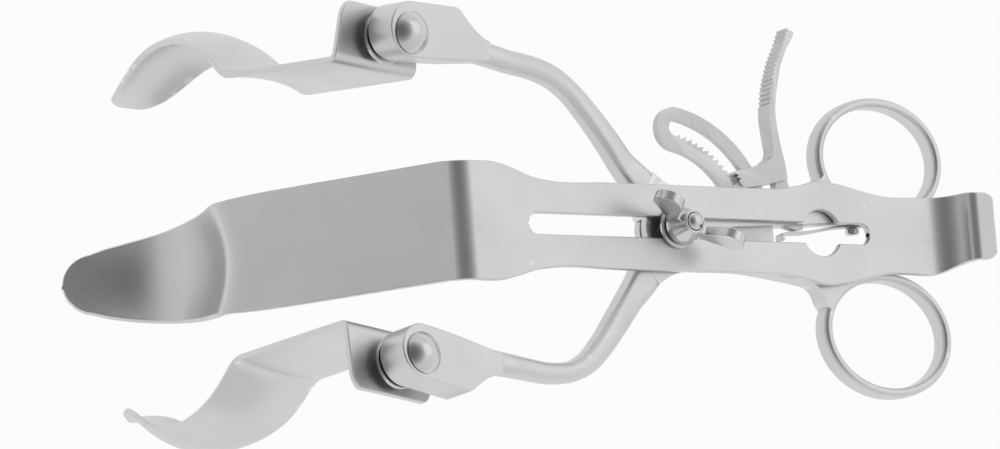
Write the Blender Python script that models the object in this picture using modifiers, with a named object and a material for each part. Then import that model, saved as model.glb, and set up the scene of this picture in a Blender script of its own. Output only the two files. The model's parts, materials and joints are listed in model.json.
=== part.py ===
"""Rectal retractor: two hinged arms with side blades, a ratchet, and a sliding centre blade."""
import bpy
import bmesh
import numpy as np
from math import atan2, cos, pi, radians, sin, sqrt
from mathutils import Euler, Matrix, Vector

# Sizes in metres, angles in degrees. X runs along the blade plate towards the finger rings,
# Y across it, Z up out of the plate. The pivot is at the origin, in the plate's top face.
gap = 0.0003
bladeSwivel = 2.2
bladeSlide = 0.0

# Arms
armDrop = 0.0019
armThick = 0.0046
armEdge = 0.00045
bossRadius = 0.0060
rodHeight = 0.0043
rodRound = 0.0017
armRise = 10.6
riseStart = -0.0085

# Finger rings
ringX = 0.0529
ringY = 0.0183
ringLong = 0.0149
ringShort = 0.01215
ringTurn = 3.0
ringFlat = 0.0011
ringBelly = 0.0021

# Arm heads
headThick = 0.0071
headFront = 0.0056
headShift = 0.0003
headLong = 0.0128
headBlend = 0.0085
headEdge = 0.0005
headLean = 5.0

# Rivets of the side blades
rivetRadius = 0.0018
domeRadius = 0.00425
domeHeight = 0.0020
swivelWasherRadius = 0.0054
swivelWasherThick = 0.0008
nutRadius = 0.0034
nutThick = 0.0015

# Side blades
sideSheet = 0.00125
flangeFront = 0.0110
flangeBack = 0.0105
flangeSlant = 0.0013
flangeOut = 0.0063
sideBend = 0.0021
sideBody = 0.0300
sideLipLong = 0.0478
sideLipRise = 0.0092
sideLipDish = 0.0028

# Centre blade
plateThick = 0.0016
plateHalf = 0.0089
frontHalf = 0.0121
frontShift = 0.0006
shoulderBack = -0.0300
shoulderFront = -0.0418
bendStart = -0.0480
bendRadius = 0.0050
bendAngle = 59.0
bladeLong = 0.0529
lipLong = 0.0373
lipRise = 0.0104
lipDish = 0.0022
creaseBow = 0.0045
swellX = 0.0360
swellHalf = 0.0109
tailHalf = 0.0082
tailStart = 0.0625
tailRadius = 0.0070
tailAngle = 74.0
curlRadius = 0.0024
curlAngle = 66.0
tailLip = 0.0036
tailShift = 0.0013
slotHalf = 0.00212
slotFront = -0.0353
slotBack = 0.0479
keyholeRadius = 0.0048

# Pivot
studRadius = 0.0018
studTop = 0.0080
studHeadRadius = 0.0042
studHeadThick = 0.0015
clampRadius = 0.0043
clampThick = 0.0010
hubFoot = 0.00375
hubTop = 0.00245
hubHeight = 0.0054
wingReach = 0.0110
wingHigh = 0.0116
wingThick = 0.0021
wingLobe = 0.0031
wingTurn = 155.0

# Ratchet bar and its two rivets
barDrop = 0.00345
barThick = 0.0015
barInner = 0.0171
barOuter = 0.0262
barRail = 0.0027
barLoopAngle = 81.2
barSlotStart = 18.5
barFootCover = 0.0009
toothTip = 0.0206
toothDepth = 0.0009
toothPitch = 4.15
toothCount = 12
lastTooth = 78.0
barRivetRadius = 0.0008
barRivetAngle = -12.0

# Ratchet lever, its pin and its spring
leverDrop = 0.0022
leverThick = 0.0039
leverTail = 0.0020
noseThick = 0.0012
leverPinX = 0.0286
leverPinY = 0.0055
leverPinRadius = 0.0009
serrations = 17
serrationDepth = 0.00042
springThick = 0.0005
springWide = 0.0026
screwX = 0.0463
screwRadius = 0.0009
screwLong = 0.0024
screwHeadRadius = 0.0015
screwHeadThick = 0.0012

armTop = -armDrop
armMiddle = -armDrop - 0.5 * armThick
armBottom = -armDrop - armThick
barTop = -barDrop
barBottom = -barDrop - barThick

# Outer and inner edge of an arm's shank behind the joint, as points (along, across)
shankOuter = [(-0.0036, 0.0116), (-0.0013, 0.0100), (0.0020, 0.0086), (0.0062, 0.0075), (0.0136, 0.0071),
              (0.0219, 0.0074), (0.0268, 0.0079), (0.0318, 0.0084)]
shankInner = [(0.0061, 0.0009), (0.0156, 0.0017), (0.0240, 0.0025), (0.0318, 0.0033), (0.0444, 0.0045),
              (0.0505, 0.0050)]
# Middle of each forged rod from the joint to the head: along, across, width
upperRod = [(-0.0040, 0.0073, 0.0078), (-0.0058, 0.0093, 0.0066), (-0.0077, 0.0113, 0.0058),
            (-0.0098, 0.0134, 0.0052), (-0.0141, 0.0181, 0.0050), (-0.0189, 0.0228, 0.0048),
            (-0.0238, 0.0268, 0.0045), (-0.0280, 0.0290, 0.0046), (-0.0330, 0.0302, 0.0046),
            (-0.0400, 0.0308, 0.0046), (-0.0470, 0.0318, 0.0047), (-0.0555, 0.0324, 0.0050)]
lowerRod = [(-0.0040, 0.0073, 0.0078), (-0.0056, 0.0095, 0.0068), (-0.0073, 0.0120, 0.0061),
            (-0.0094, 0.0148, 0.0055), (-0.0134, 0.0198, 0.0053), (-0.0178, 0.0250, 0.0050),
            (-0.0222, 0.0290, 0.0046), (-0.0264, 0.0310, 0.0043), (-0.0312, 0.0318, 0.0043),
            (-0.0400, 0.0315, 0.0045), (-0.0480, 0.0309, 0.0050), (-0.0560, 0.0305, 0.0056)]
rods = {1: upperRod, -1: lowerRod}
# Rivet axis of each head: along, across, turn of the head in its own plane, and how far the
# block stands outside its rivet axis
heads = {1: (-0.0666, 0.0330, 1.0, 0.0008), -1: (-0.0671, 0.0312, 8.4, -0.0005)}
# Each side blade: its turn on the rivet, how far the flange reaches inwards to the bend, and how
# far the bend closes past square
sideTurns = {1: -3.8, -1: -3.2}
flangeIns = {1: 0.0045, -1: 0.0056}
sideCloses = {1: 0.0, -1: 1.7}
sides = {1: "upper", -1: "lower"}


def startCollections():
    """Empty scene with one collection for the pieces and one for the cutters."""
    for ob in list(bpy.data.objects):
        bpy.data.objects.remove(ob, do_unlink=True)
    parts = bpy.data.collections.new("rectal_retractor")
    cutters = bpy.data.collections.new("cutters")
    bpy.context.scene.collection.children.link(parts)
    bpy.context.scene.collection.children.link(cutters)
    return parts, cutters


def steel(name, colour, roughness):
    """Stainless steel of one tone."""
    material = bpy.data.materials.new(name)
    material.use_nodes = True
    shader = material.node_tree.nodes["Principled BSDF"]
    shader.inputs["Base Color"].default_value = (colour[0], colour[1], colour[2], 1.0)
    shader.inputs["Roughness"].default_value = roughness
    shader.inputs["Metallic"].default_value = 1.0
    return material


def frameEmpty(name, where, parent, location=(0.0, 0.0, 0.0), rotation=(0.0, 0.0, 0.0)):
    """Empty that carries a group of pieces."""
    ob = bpy.data.objects.new(name, None)
    ob.empty_display_size = 0.005
    where.objects.link(ob)
    ob.parent = parent
    ob.location = location
    ob.rotation_euler = rotation
    return ob


def arc(cx, cy, radius, start, end, count):
    """Points on an arc with both ends, angles in degrees."""
    angles = np.linspace(radians(start), radians(end), count)
    return [(cx + radius * cos(a), cy + radius * sin(a)) for a in angles]


def circle(radius, count=32, cx=0.0, cy=0.0):
    """Points round a circle."""
    return arc(cx, cy, radius, 0.0, 360.0 - 360.0 / count, count)


def polar(radius, degrees):
    """Plan point at a distance and an angle from the pivot."""
    return (radius * cos(radians(degrees)), radius * sin(radians(degrees)))


def mirrored(points, side):
    """Points of the upper side, turned over for the lower side."""
    return [(x, y * side) for x, y in points]


def ease(t):
    """Smooth step from 0 to 1."""
    t = np.clip(t, 0.0, 1.0)
    return t * t * (3.0 - 2.0 * t)


def through(points, at):
    """Smooth curve through (x, y) points: cubic Hermite with central slopes."""
    px, py = np.array(points, dtype=float).T
    if px[0] > px[-1]:
        px, py = px[::-1], py[::-1]
    at = np.atleast_1d(np.asarray(at, dtype=float))
    slope = np.gradient(py, px)
    i = np.clip(np.searchsorted(px, at) - 1, 0, len(px) - 2)
    h = px[i + 1] - px[i]
    t = np.clip((at - px[i]) / h, 0.0, 1.0)
    blend = (2 * t ** 3 - 3 * t ** 2 + 1) * py[i] + (3 * t ** 2 - 2 * t ** 3) * py[i + 1]
    return blend + (t ** 3 - 2 * t ** 2 + t) * h * slope[i] + (t ** 3 - t ** 2) * h * slope[i + 1]


def evenly(points, count):
    """Evenly spaced points along a polyline."""
    line = np.array(points)
    run = np.concatenate([[0.0], np.cumsum(np.linalg.norm(np.diff(line, axis=0), axis=1))])
    at = np.linspace(0.0, run[-1], count)
    return np.stack([np.interp(at, run, line[:, k]) for k in range(line.shape[1])], axis=1)


def bakeMesh(holder, name, where, parent):
    """Mesh object from an evaluated curve or modifier stack, welded and with flat caps whole."""
    bpy.context.view_layer.update()
    graph = bpy.context.evaluated_depsgraph_get()
    mesh = bpy.data.meshes.new_from_object(holder.evaluated_get(graph))
    mesh.name = name
    bpy.data.objects.remove(holder, do_unlink=True)
    bm = bmesh.new()
    bm.from_mesh(mesh)
    bmesh.ops.remove_doubles(bm, verts=bm.verts, dist=1e-6)
    bmesh.ops.dissolve_limit(bm, angle_limit=radians(0.5), verts=bm.verts, edges=bm.edges)
    bmesh.ops.recalc_face_normals(bm, faces=bm.faces)
    bm.to_mesh(mesh)
    bm.free()
    mesh.materials.clear()
    ob = bpy.data.objects.new(name, mesh)
    where.objects.link(ob)
    ob.parent = parent
    return ob


def addSpline(curve, points):
    """Closed run of straight pieces in a curve."""
    spline = curve.splines.new("POLY")
    spline.points.add(len(points) - 1)
    for point, place in zip(spline.points, points):
        point.co = (place[0], place[1], 0.0, 1.0)
    spline.use_cyclic_u = True


def flatPiece(name, outline, low, high, where, parent, origin=(0.0, 0.0)):
    """Flat piece: filled 2D outline extruded between two heights."""
    curve = bpy.data.curves.new(name, "CURVE")
    curve.dimensions = "2D"
    curve.fill_mode = "BOTH"
    curve.extrude = 0.5 * (high - low)
    addSpline(curve, [(x - origin[0], y - origin[1]) for x, y in outline])
    holder = bpy.data.objects.new(name, curve)
    where.objects.link(holder)
    ob = bakeMesh(holder, name, where, parent)
    ob.location = (origin[0], origin[1], 0.5 * (low + high))
    return ob


def turned(name, profile, where, parent, steps=32, closed=False, location=(0.0, 0.0, 0.0), rotation=(0.0, 0.0, 0.0)):
    """Round piece: profile of (radius, height), run down its outer side and turned about Z."""
    mesh = bpy.data.meshes.new(name)
    edges = [(i, i + 1) for i in range(len(profile) - 1)]
    if closed:
        edges.append((len(profile) - 1, 0))
    mesh.from_pydata([(r, 0.0, z) for r, z in profile], edges, [])
    holder = bpy.data.objects.new(name, mesh)
    where.objects.link(holder)
    turn = holder.modifiers.new("turn", "SCREW")
    turn.axis = "Z"
    turn.steps = steps
    turn.render_steps = steps
    turn.use_merge_vertices = True
    turn.merge_threshold = 1e-6
    ob = bakeMesh(holder, name, where, parent)
    ob.location = location
    ob.rotation_euler = rotation
    return ob


def loft(name, sections, where, parent):
    """Solid skinned through unlike sections with equal numbers of points."""
    count = len(sections[0])
    bm = bmesh.new()
    rings = [[bm.verts.new(p) for p in section] for section in sections]
    for a, b in zip(rings[:-1], rings[1:]):
        for k in range(count):
            bm.faces.new((a[k], a[(k + 1) % count], b[(k + 1) % count], b[k]))
    bm.faces.new(rings[0])
    bm.faces.new(rings[-1])
    bmesh.ops.recalc_face_normals(bm, faces=bm.faces)
    mesh = bpy.data.meshes.new(name)
    bm.to_mesh(mesh)
    bm.free()
    ob = bpy.data.objects.new(name, mesh)
    where.objects.link(ob)
    ob.parent = parent
    return ob


def sheetPiece(name, grid, thickness, offset, where, parent, location=(0.0, 0.0, 0.0)):
    """Formed sheet: an open surface over a grid of points, thickened with Solidify."""
    rows, cols = grid.shape[:2]
    bm = bmesh.new()
    verts = [[bm.verts.new(grid[i, j]) for j in range(cols)] for i in range(rows)]
    for i in range(rows - 1):
        for j in range(cols - 1):
            bm.faces.new((verts[i][j], verts[i][j + 1], verts[i + 1][j + 1], verts[i + 1][j]))
    mesh = bpy.data.meshes.new(name)
    bm.to_mesh(mesh)
    bm.free()
    ob = bpy.data.objects.new(name, mesh)
    where.objects.link(ob)
    thick = ob.modifiers.new("thickness", "SOLIDIFY")
    thick.thickness = thickness
    thick.offset = offset
    thick.use_even_offset = True
    thick.use_quality_normals = True
    ob.parent = parent
    ob.location = location
    return ob


def roundEdges(ob, width, segments=2):
    """Small rounding along the sharp edges."""
    bevel = ob.modifiers.new("edges", "BEVEL")
    bevel.width = width
    bevel.segments = segments
    bevel.limit_method = "ANGLE"
    bevel.angle_limit = radians(50.0)
    bevel.use_clamp_overlap = True


def combine(ob, tool, operation):
    """Join a tool to a piece, or cut it out, with an exact Boolean."""
    step = ob.modifiers.new(tool.name, "BOOLEAN")
    step.operation = operation
    step.solver = "EXACT"
    step.object = tool
    tool.hide_render = True
    tool.display_type = "WIRE"


def finish(ob, material):
    """Material and shading of a finished piece."""
    ob.data.materials.append(material)
    ob.data.shade_smooth()
    ob.data.set_sharp_from_angle(angle=radians(32.0))
    return ob


# Centre blade

def plateEdge(x):
    """Half width of the flat plate at a place along it."""
    marks = [(bendStart - 0.001, frontHalf), (shoulderFront, frontHalf * 0.985),
             (shoulderFront + 0.0034, frontHalf - 0.0011), (shoulderBack - 0.0038, plateHalf + 0.0006),
             (shoulderBack, plateHalf), (-0.0150, plateHalf), (0.0050, plateHalf),
             (0.0200, plateHalf), (swellX - 0.0100, plateHalf + 0.0001), (swellX - 0.0045, swellHalf - 0.0010),
             (swellX, swellHalf), (swellX + 0.0055, swellHalf - 0.0006), (swellX + 0.0104, swellHalf - 0.0017),
             (swellX + 0.0160, tailHalf), (tailStart, tailHalf)]
    return through(marks, x)


def centreBladeRows():
    """Path of the centre blade in its XZ plane: x, z, half width, dish, crease bow and shift across."""
    rows = []
    a = radians(tailAngle)
    b = radians(tailAngle - curlAngle)
    topX = tailStart + tailRadius * sin(a)
    topZ = tailRadius * (1.0 - cos(a))
    curlX = topX + curlRadius * sin(a)
    curlZ = topZ - curlRadius * cos(a)
    for k in range(4):
        reach = tailLip * (1.0 - k / 4.0)
        half = tailHalf * (0.68 + 0.18 * sin(0.5 * pi * k / 3.0))
        rows.append((curlX - curlRadius * sin(b) + reach * cos(b), curlZ + curlRadius * cos(b) + reach * sin(b), half,
                     0.0, 0.0, tailShift))
    for t in np.linspace(0.0, 1.0, 7):
        heading = b + (a - b) * t
        rows.append((curlX - curlRadius * sin(heading), curlZ + curlRadius * cos(heading), tailHalf * (0.86 + 0.02 * t),
                     0.0, 0.0, tailShift))
    for t in np.linspace(0.0, 1.0, 10)[1:]:
        heading = a * (1.0 - t)
        x = tailStart + tailRadius * sin(heading)
        rows.append((x, tailRadius * (1.0 - cos(heading)), tailHalf * (0.88 + 0.12 * float(ease(t))), 0.0, 0.0,
                     tailShift * (1.0 - float(ease(t)))))
    marks = [0.0570, swellX + 0.0160, swellX + 0.0130, swellX + 0.0104, swellX + 0.0080, swellX + 0.0055]
    marks += [swellX + 0.0027, swellX, swellX - 0.0020, swellX - 0.0045, swellX - 0.0070, swellX - 0.0100]
    marks += [0.0120, 0.0, -0.0120, shoulderBack]
    marks += list(np.linspace(shoulderBack, shoulderFront, 9)[1:])
    marks += [0.5 * (shoulderFront + bendStart), bendStart]
    for x in marks:
        shift = 0.5 * frontShift * float(ease((shoulderBack - x) / (shoulderBack - shoulderFront)))
        rows.append((x, 0.0, float(plateEdge(x)[0]), 0.0, 0.0, shift))
    c = radians(bendAngle)
    for t in np.linspace(0.0, 1.0, 9)[1:]:
        rows.append((bendStart - bendRadius * sin(c * t), -bendRadius * (1.0 - cos(c * t)), frontHalf, 0.0, 0.0,
                     frontShift * (0.5 + 0.25 * t)))
    bendX, bendZ = rows[-1][:2]
    alongX, alongZ = -cos(c), -sin(c)
    outX, outZ = sin(c), -cos(c)
    body = [(0.0, 1.0), (0.33, 0.995), (0.66, 0.992), (0.85, 0.979), (0.93, 0.960), (1.0, 0.932)]
    for t in (0.3, 0.55, 0.72, 0.83, 0.90, 0.95, 0.98):
        s = bladeLong * t
        rows.append((bendX + alongX * s, bendZ + alongZ * s, frontHalf * float(through(body, t)[0]), 0.0,
                     creaseBow * float(ease((t - 0.3) / 0.7)), frontShift))
    rise = [(0.0, 0.0), (0.1, 0.349), (0.2, 0.632), (0.3, 0.832), (0.4, 0.962), (0.5, 1.0), (0.6, 0.945),
            (0.7, 0.815), (0.8, 0.628), (0.9, 0.421), (1.0, 0.202)]
    half = [(0.0, 0.931), (0.12, 0.886), (0.25, 0.850), (0.40, 0.795), (0.55, 0.720), (0.70, 0.635), (0.82, 0.545),
            (0.91, 0.430), (0.97, 0.275), (1.0, 0.054)]
    hollow = [(0.0, 0.0), (0.15, 0.60), (0.35, 1.0), (0.60, 0.95), (0.85, 0.50), (0.94, 0.20), (1.0, 0.02)]
    for t in list(np.linspace(0.0, 0.9, 19)) + [0.93, 0.96, 0.98, 0.992, 1.0]:
        s = bladeLong + lipLong * t
        out = lipRise * float(through(rise, t)[0])
        wide = frontHalf * float(through(half, t)[0])
        rows.append((bendX + alongX * s + outX * out, bendZ + alongZ * s + outZ * out, wide,
                     lipDish * float(through(hollow, t)[0]), creaseBow * (1.0 - float(ease(t / 0.6))), frontShift))
    return np.array(rows)


def makeCentreBlade(parts, cutters, rig, material):
    """Slotted plate with a finger lip behind and a bent blade with an arched lip in front."""
    rows = centreBladeRows()
    across = np.linspace(-1.0, 1.0, 11)
    tangent = np.gradient(rows[:, :2], axis=0)
    tangent /= np.linalg.norm(tangent, axis=1)[:, None]
    arch = 1.0 - across ** 2
    dish = rows[:, 3:4] * arch
    bow = rows[:, 4:5] * arch
    grid = np.zeros((len(rows), len(across), 3))
    grid[:, :, 0] = rows[:, 0:1] - tangent[:, 1:2] * dish + cos(radians(bendAngle)) * bow
    grid[:, :, 2] = rows[:, 1:2] + tangent[:, 0:1] * dish + sin(radians(bendAngle)) * bow
    grid[:, :, 1] = rows[:, 2:3] * across + rows[:, 5:6]
    ob = sheetPiece("centre_blade", grid, plateThick, -1.0, parts, rig)
    low, high = -3.0 * plateThick, 2.0 * plateThick
    slot = arc(slotBack - slotHalf, 0.0, slotHalf, -90.0, 90.0, 13)
    slot += arc(slotFront + slotHalf, 0.0, slotHalf, 90.0, 270.0, 13)
    slotTool = flatPiece("plate_slot", slot, low, high, cutters, rig)
    keyTool = flatPiece("plate_keyhole", circle(keyholeRadius, 36, swellX), 1.1 * low, 1.1 * high, cutters, rig)
    combine(slotTool, keyTool, "UNION")
    combine(ob, slotTool, "DIFFERENCE")
    return finish(ob, material)


# Arms

def armPlane(x):
    """Height of the arm's top face: level behind, rising in front of the joint."""
    slope = sin(radians(armRise)) / cos(radians(armRise))
    ahead = max(0.0, riseStart - x)
    soft = min(1.0, ahead / 0.003)
    return armTop + slope * ahead * (0.5 * soft + 0.5)


def headFrame(side):
    """Location and rotation of an arm head: origin on the rivet axis in its top face."""
    x, y, turn, _ = heads[side]
    lean = Matrix.Rotation(radians(armRise), 3, "Y") @ Matrix.Rotation(radians(headLean * side), 3, "X")
    spin = lean @ Matrix.Rotation(radians(turn * side), 3, "Z")
    return (x, y * side, armPlane(x)), spin.to_euler()


def ringPath(count):
    """Middle line of the upper finger ring."""
    angles = np.linspace(0.0, 2.0 * pi, count, endpoint=False)
    c, s = cos(radians(ringTurn)), sin(radians(ringTurn))
    x = ringLong * np.cos(angles)
    y = ringShort * np.sin(angles)
    return np.stack([ringX + c * x - s * y, ringY + s * x + c * y], axis=1)


def armOutline():
    """Plan of the joint disc, elbow, shank and the web beside the ring, as one outline."""
    last = atan2(shankInner[0][1], shankInner[0][0]) * 180.0 / pi
    outline = arc(0.0, 0.0, bossRadius, last, -198.0, 34)
    outline += [(-0.0066, 0.0040), (-0.0074, 0.0056)]
    outer = [(x, float(through(shankOuter, x)[0])) for x in
             (-0.0036, -0.0013, 0.0020, 0.0062, 0.0100, 0.0136, 0.0180, 0.0219, 0.0268, 0.0310)]
    outline += outer
    ring = ringPath(48)
    leftX, leftY = ring[25]
    web = 0.0040
    wire = 0.5 * ringBelly
    cx, cy = leftX - wire - web, outer[-1][1] + web + 0.0004
    outline += arc(cx, cy, web, -80.0, -8.0, 7)
    outline += [(float(x), float(y)) for x, y in ring[26:35]]
    outline += [(x, y) for x, y in shankInner[::-1]]
    return outline


def ringSolid(name, side, cutters, rig):
    """Oval finger ring: a flat-faced wire section carried round the ring's middle line."""
    half = 0.5 * armThick - 0.00006
    flat = 0.5 * ringFlat
    belly = 0.5 * ringBelly
    section = [(flat, half), (belly * 0.86, half * 0.80), (belly, half * 0.45), (belly, -half * 0.45),
               (belly * 0.86, -half * 0.80), (flat, -half)]
    section += [(-x, y) for x, y in section[::-1]]
    wire = bpy.data.curves.new(name + "_section", "CURVE")
    wire.dimensions = "2D"
    addSpline(wire, section)
    wireHolder = bpy.data.objects.new(name + "_section", wire)
    cutters.objects.link(wireHolder)
    path = bpy.data.curves.new(name, "CURVE")
    path.dimensions = "3D"
    path.twist_mode = "Z_UP"
    path.bevel_mode = "OBJECT"
    path.bevel_object = wireHolder
    addSpline(path, [(x, y * side) for x, y in ringPath(48)])
    holder = bpy.data.objects.new(name, path)
    cutters.objects.link(holder)
    ob = bakeMesh(holder, name, cutters, rig)
    bpy.data.objects.remove(wireHolder, do_unlink=True)
    ob.location = (0.0, 0.0, armMiddle)
    return ob


def rodSolid(name, side, cutters, rig):
    """Forged rod from the joint to the head, flat near the joint and round further on."""
    line = [(x, y * side) for x, y, _ in rods[side]]
    sections = []
    for i, (x, y, width) in enumerate(rods[side]):
        y = y * side
        before = line[max(0, i - 1)]
        after = line[min(len(line) - 1, i + 1)]
        share = float(ease((i - 1) / 5.0))
        height = armThick + (rodHeight - armThick) * share
        corner = 0.0006 + (rodRound - 0.0006) * share
        rise = radians(armRise) * float(ease((riseStart + 0.002 - x) / 0.004))
        along = Vector((after[0] - before[0], after[1] - before[1], 0.0)).normalized()
        up = Vector((sin(rise), 0.0, cos(rise)))
        across = up.cross(along).normalized()
        sink = 0.00004 * (1.0 - share)
        middle = Vector((x, y, armPlane(x))) - up * (0.5 * height)
        height -= 2.0 * sink
        shape = []
        for sx, sy, start in ((1, 1, 0), (-1, 1, 90), (-1, -1, 180), (1, -1, 270)):
            shape += arc(sx * (0.5 * width - corner), sy * (0.5 * height - corner), corner, start, start + 90, 4)
        sections.append([middle + across * a + up * b for a, b in shape])
    return loft(name, sections, cutters, rig)


def headSolid(name, side, cutters, head):
    """Thick head block: round in front, square shoulder behind, hollow blend to the rod."""
    offset = heads[side][3]
    outer = offset + headFront
    inner = offset - headFront
    back = headLong + headBlend
    outline = arc(headShift, offset, headFront, 90.0, 270.0, 19)
    outline += [(headLong, inner + 0.0005), (back, inner + 0.0012)]
    for t in (1.0, 0.8, 0.61, 0.43, 0.27, 0.12):
        outline.append((headLong + headBlend * t, outer - 0.0060 * (1.0 - (1.0 - t) ** 1.5)))
    outline.append((headLong - 0.0006, outer))
    ob = flatPiece(name, mirrored(outline, side), -headThick, 0.0, cutters, head)
    roundEdges(ob, headEdge)
    wedge = [(headLong, -headThick - 0.0020), (headLong, -headThick - 0.0001), (back + 0.0010, -rodHeight + 0.0002),
             (back + 0.0010, -headThick - 0.0020)]
    slope = loft(name + "_slope", [[(x, y, z) for x, z in wedge] for y in (-0.0200, 0.0200)], cutters, head)
    combine(ob, slope, "DIFFERENCE")
    return ob


def makeArm(side, parts, cutters, rig, head, material):
    """One arm: joint disc, shank, ring, rod and head in one forging, with its bores and slots."""
    name = sides[side] + "_arm"
    ob = flatPiece(name, mirrored(armOutline(), side), armBottom, armTop, parts, rig)
    roundEdges(ob, armEdge)
    combine(ob, ringSolid(name + "_ring", side, cutters, rig), "UNION")
    combine(ob, rodSolid(name + "_rod", side, cutters, rig), "UNION")
    combine(ob, headSolid(name + "_head", side, cutters, head), "UNION")
    reach = 0.0040
    if side > 0:
        low, high = armBottom - reach, armMiddle + 0.5 * gap
    else:
        low, high = armMiddle - 0.5 * gap, armTop + reach
    lap = flatPiece(name + "_lap", circle(bossRadius + gap, 56), low, high, cutters, rig)
    combine(ob, lap, "DIFFERENCE")
    bore = flatPiece(name + "_bore", circle(studRadius + gap, 28), armBottom - reach, armTop + reach, cutters, rig)
    combine(ob, bore, "DIFFERENCE")
    rivet = flatPiece(name + "_rivet_bore", circle(rivetRadius + gap, 28), -headThick - reach, reach, cutters, head)
    combine(ob, rivet, "DIFFERENCE")
    if side > 0:
        cutUpperArm(ob, cutters, rig)
    else:
        cutLowerArm(ob, cutters, rig)
    return finish(ob, material)


def cutUpperArm(ob, cutters, rig):
    """Slot for the bar and the lever's tail, bore of the lever's pin and of the spring's screw."""
    high = 0.5 * leverTail + gap
    left = sqrt((barInner - gap) ** 2 - 0.0080 ** 2)
    right = leverPinX + 0.0068
    slot = flatPiece("upper_slot", [(left, -0.003), (right, -0.003), (right, 0.013), (left, 0.013)],
                     armMiddle - high, armMiddle + high, cutters, rig)
    combine(ob, slot, "DIFFERENCE")
    pin = flatPiece("lever_pin_bore", circle(leverPinRadius + gap, 20, leverPinX, leverPinY),
                    armBottom - 0.004, armTop + 0.004, cutters, rig)
    combine(ob, pin, "DIFFERENCE")
    combine(ob, screwBore("spring_screw_bore", cutters, rig), "DIFFERENCE")


def barRivetPlaces():
    """Centres of the two rivets in the bar's foot."""
    wide = barOuter - barInner
    return [polar(barInner + wide * share, barRivetAngle) for share in (0.26, 0.72)]


def barFootY():
    """Level of the bar's foot inside the lower arm."""
    return -(float(through(shankOuter, barInner)[0]) - barFootCover - gap)


def footAngle(radius, level):
    """Angle at which a circle about the pivot reaches a level across the arm."""
    return atan2(level, sqrt(radius ** 2 - level ** 2)) * 180.0 / pi


def cutLowerArm(ob, cutters, rig):
    """Socket for the foot of the ratchet bar and bores of its two rivets."""
    level = barFootY() - gap
    outer = barOuter + gap
    inner = barInner - gap
    socket = arc(0.0, 0.0, outer, footAngle(outer, level), 4.0, 9)
    socket += arc(0.0, 0.0, inner, 4.0, footAngle(inner, level), 9)
    tool = flatPiece("lower_socket", socket, barBottom - gap, barTop + gap, cutters, rig)
    combine(ob, tool, "DIFFERENCE")
    for k, (x, y) in enumerate(barRivetPlaces()):
        bore = flatPiece("bar_rivet_bore_%d" % (k + 1), circle(barRivetRadius + gap, 20, x, y),
                         armBottom - 0.004, armTop + 0.004, cutters, rig)
        combine(ob, bore, "DIFFERENCE")


# Ratchet

def makeRatchetBar(parts, cutters, rig, material):
    """Curved flat bar about the pivot, with a slot whose inner side carries saw teeth."""
    level = barFootY()
    middle = 0.5 * (barInner + barOuter)
    loopX, loopY = polar(middle, barLoopAngle)
    outline = arc(0.0, 0.0, barOuter, footAngle(barOuter, level), barLoopAngle, 30)
    outline += arc(loopX, loopY, 0.5 * (barOuter - barInner), barLoopAngle, barLoopAngle + 180.0, 17)[1:-1]
    outline += arc(0.0, 0.0, barInner, barLoopAngle, footAngle(barInner, level), 30)
    ob = flatPiece("ratchet_bar", outline, barBottom, barTop, parts, rig)
    slotOuter = barOuter - barRail
    root = toothTip - toothDepth
    slot = arc(0.0, 0.0, slotOuter, barSlotStart, barLoopAngle, 24)
    endRadius = 0.5 * (slotOuter - toothTip) + 0.00015
    endX, endY = polar(slotOuter - endRadius, barLoopAngle)
    slot += arc(endX, endY, endRadius, barLoopAngle, barLoopAngle + 180.0, 11)[1:]
    for k in range(toothCount):
        tip = lastTooth - toothPitch * k
        slot.append(polar(root, tip + 0.80 * toothPitch))
        slot.append(polar(toothTip, tip + 0.10 * toothPitch))
        slot.append(polar(toothTip, tip - 0.08 * toothPitch))
    slot.append(polar(root, lastTooth - toothPitch * (toothCount - 1) - 0.20 * toothPitch))
    slot += arc(0.0, 0.0, root, lastTooth - toothPitch * toothCount, barSlotStart, 4)
    tool = flatPiece("bar_slot", slot, barBottom - 0.001, barTop + 0.001, cutters, rig)
    combine(ob, tool, "DIFFERENCE")
    for k, (x, y) in enumerate(barRivetPlaces()):
        hole = flatPiece("bar_hole_%d" % (k + 1), circle(barRivetRadius + gap, 20, x, y),
                         barBottom - 0.001, barTop + 0.001, cutters, rig)
        combine(ob, hole, "DIFFERENCE")
    return finish(ob, material)


def crossPin(name, radius, x, y, parts, rig, material):
    """Plain pin through the whole thickness of an arm, flush with both faces."""
    top = armTop - 0.0001
    low = armBottom + 0.0001
    profile = [(0.0, top), (radius - 0.0001, top), (radius, top - 0.0001), (radius, low + 0.0001),
               (radius - 0.0001, low), (0.0, low)]
    return finish(turned(name, profile, parts, rig, 20, location=(x, y, 0.0)), material)


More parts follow.
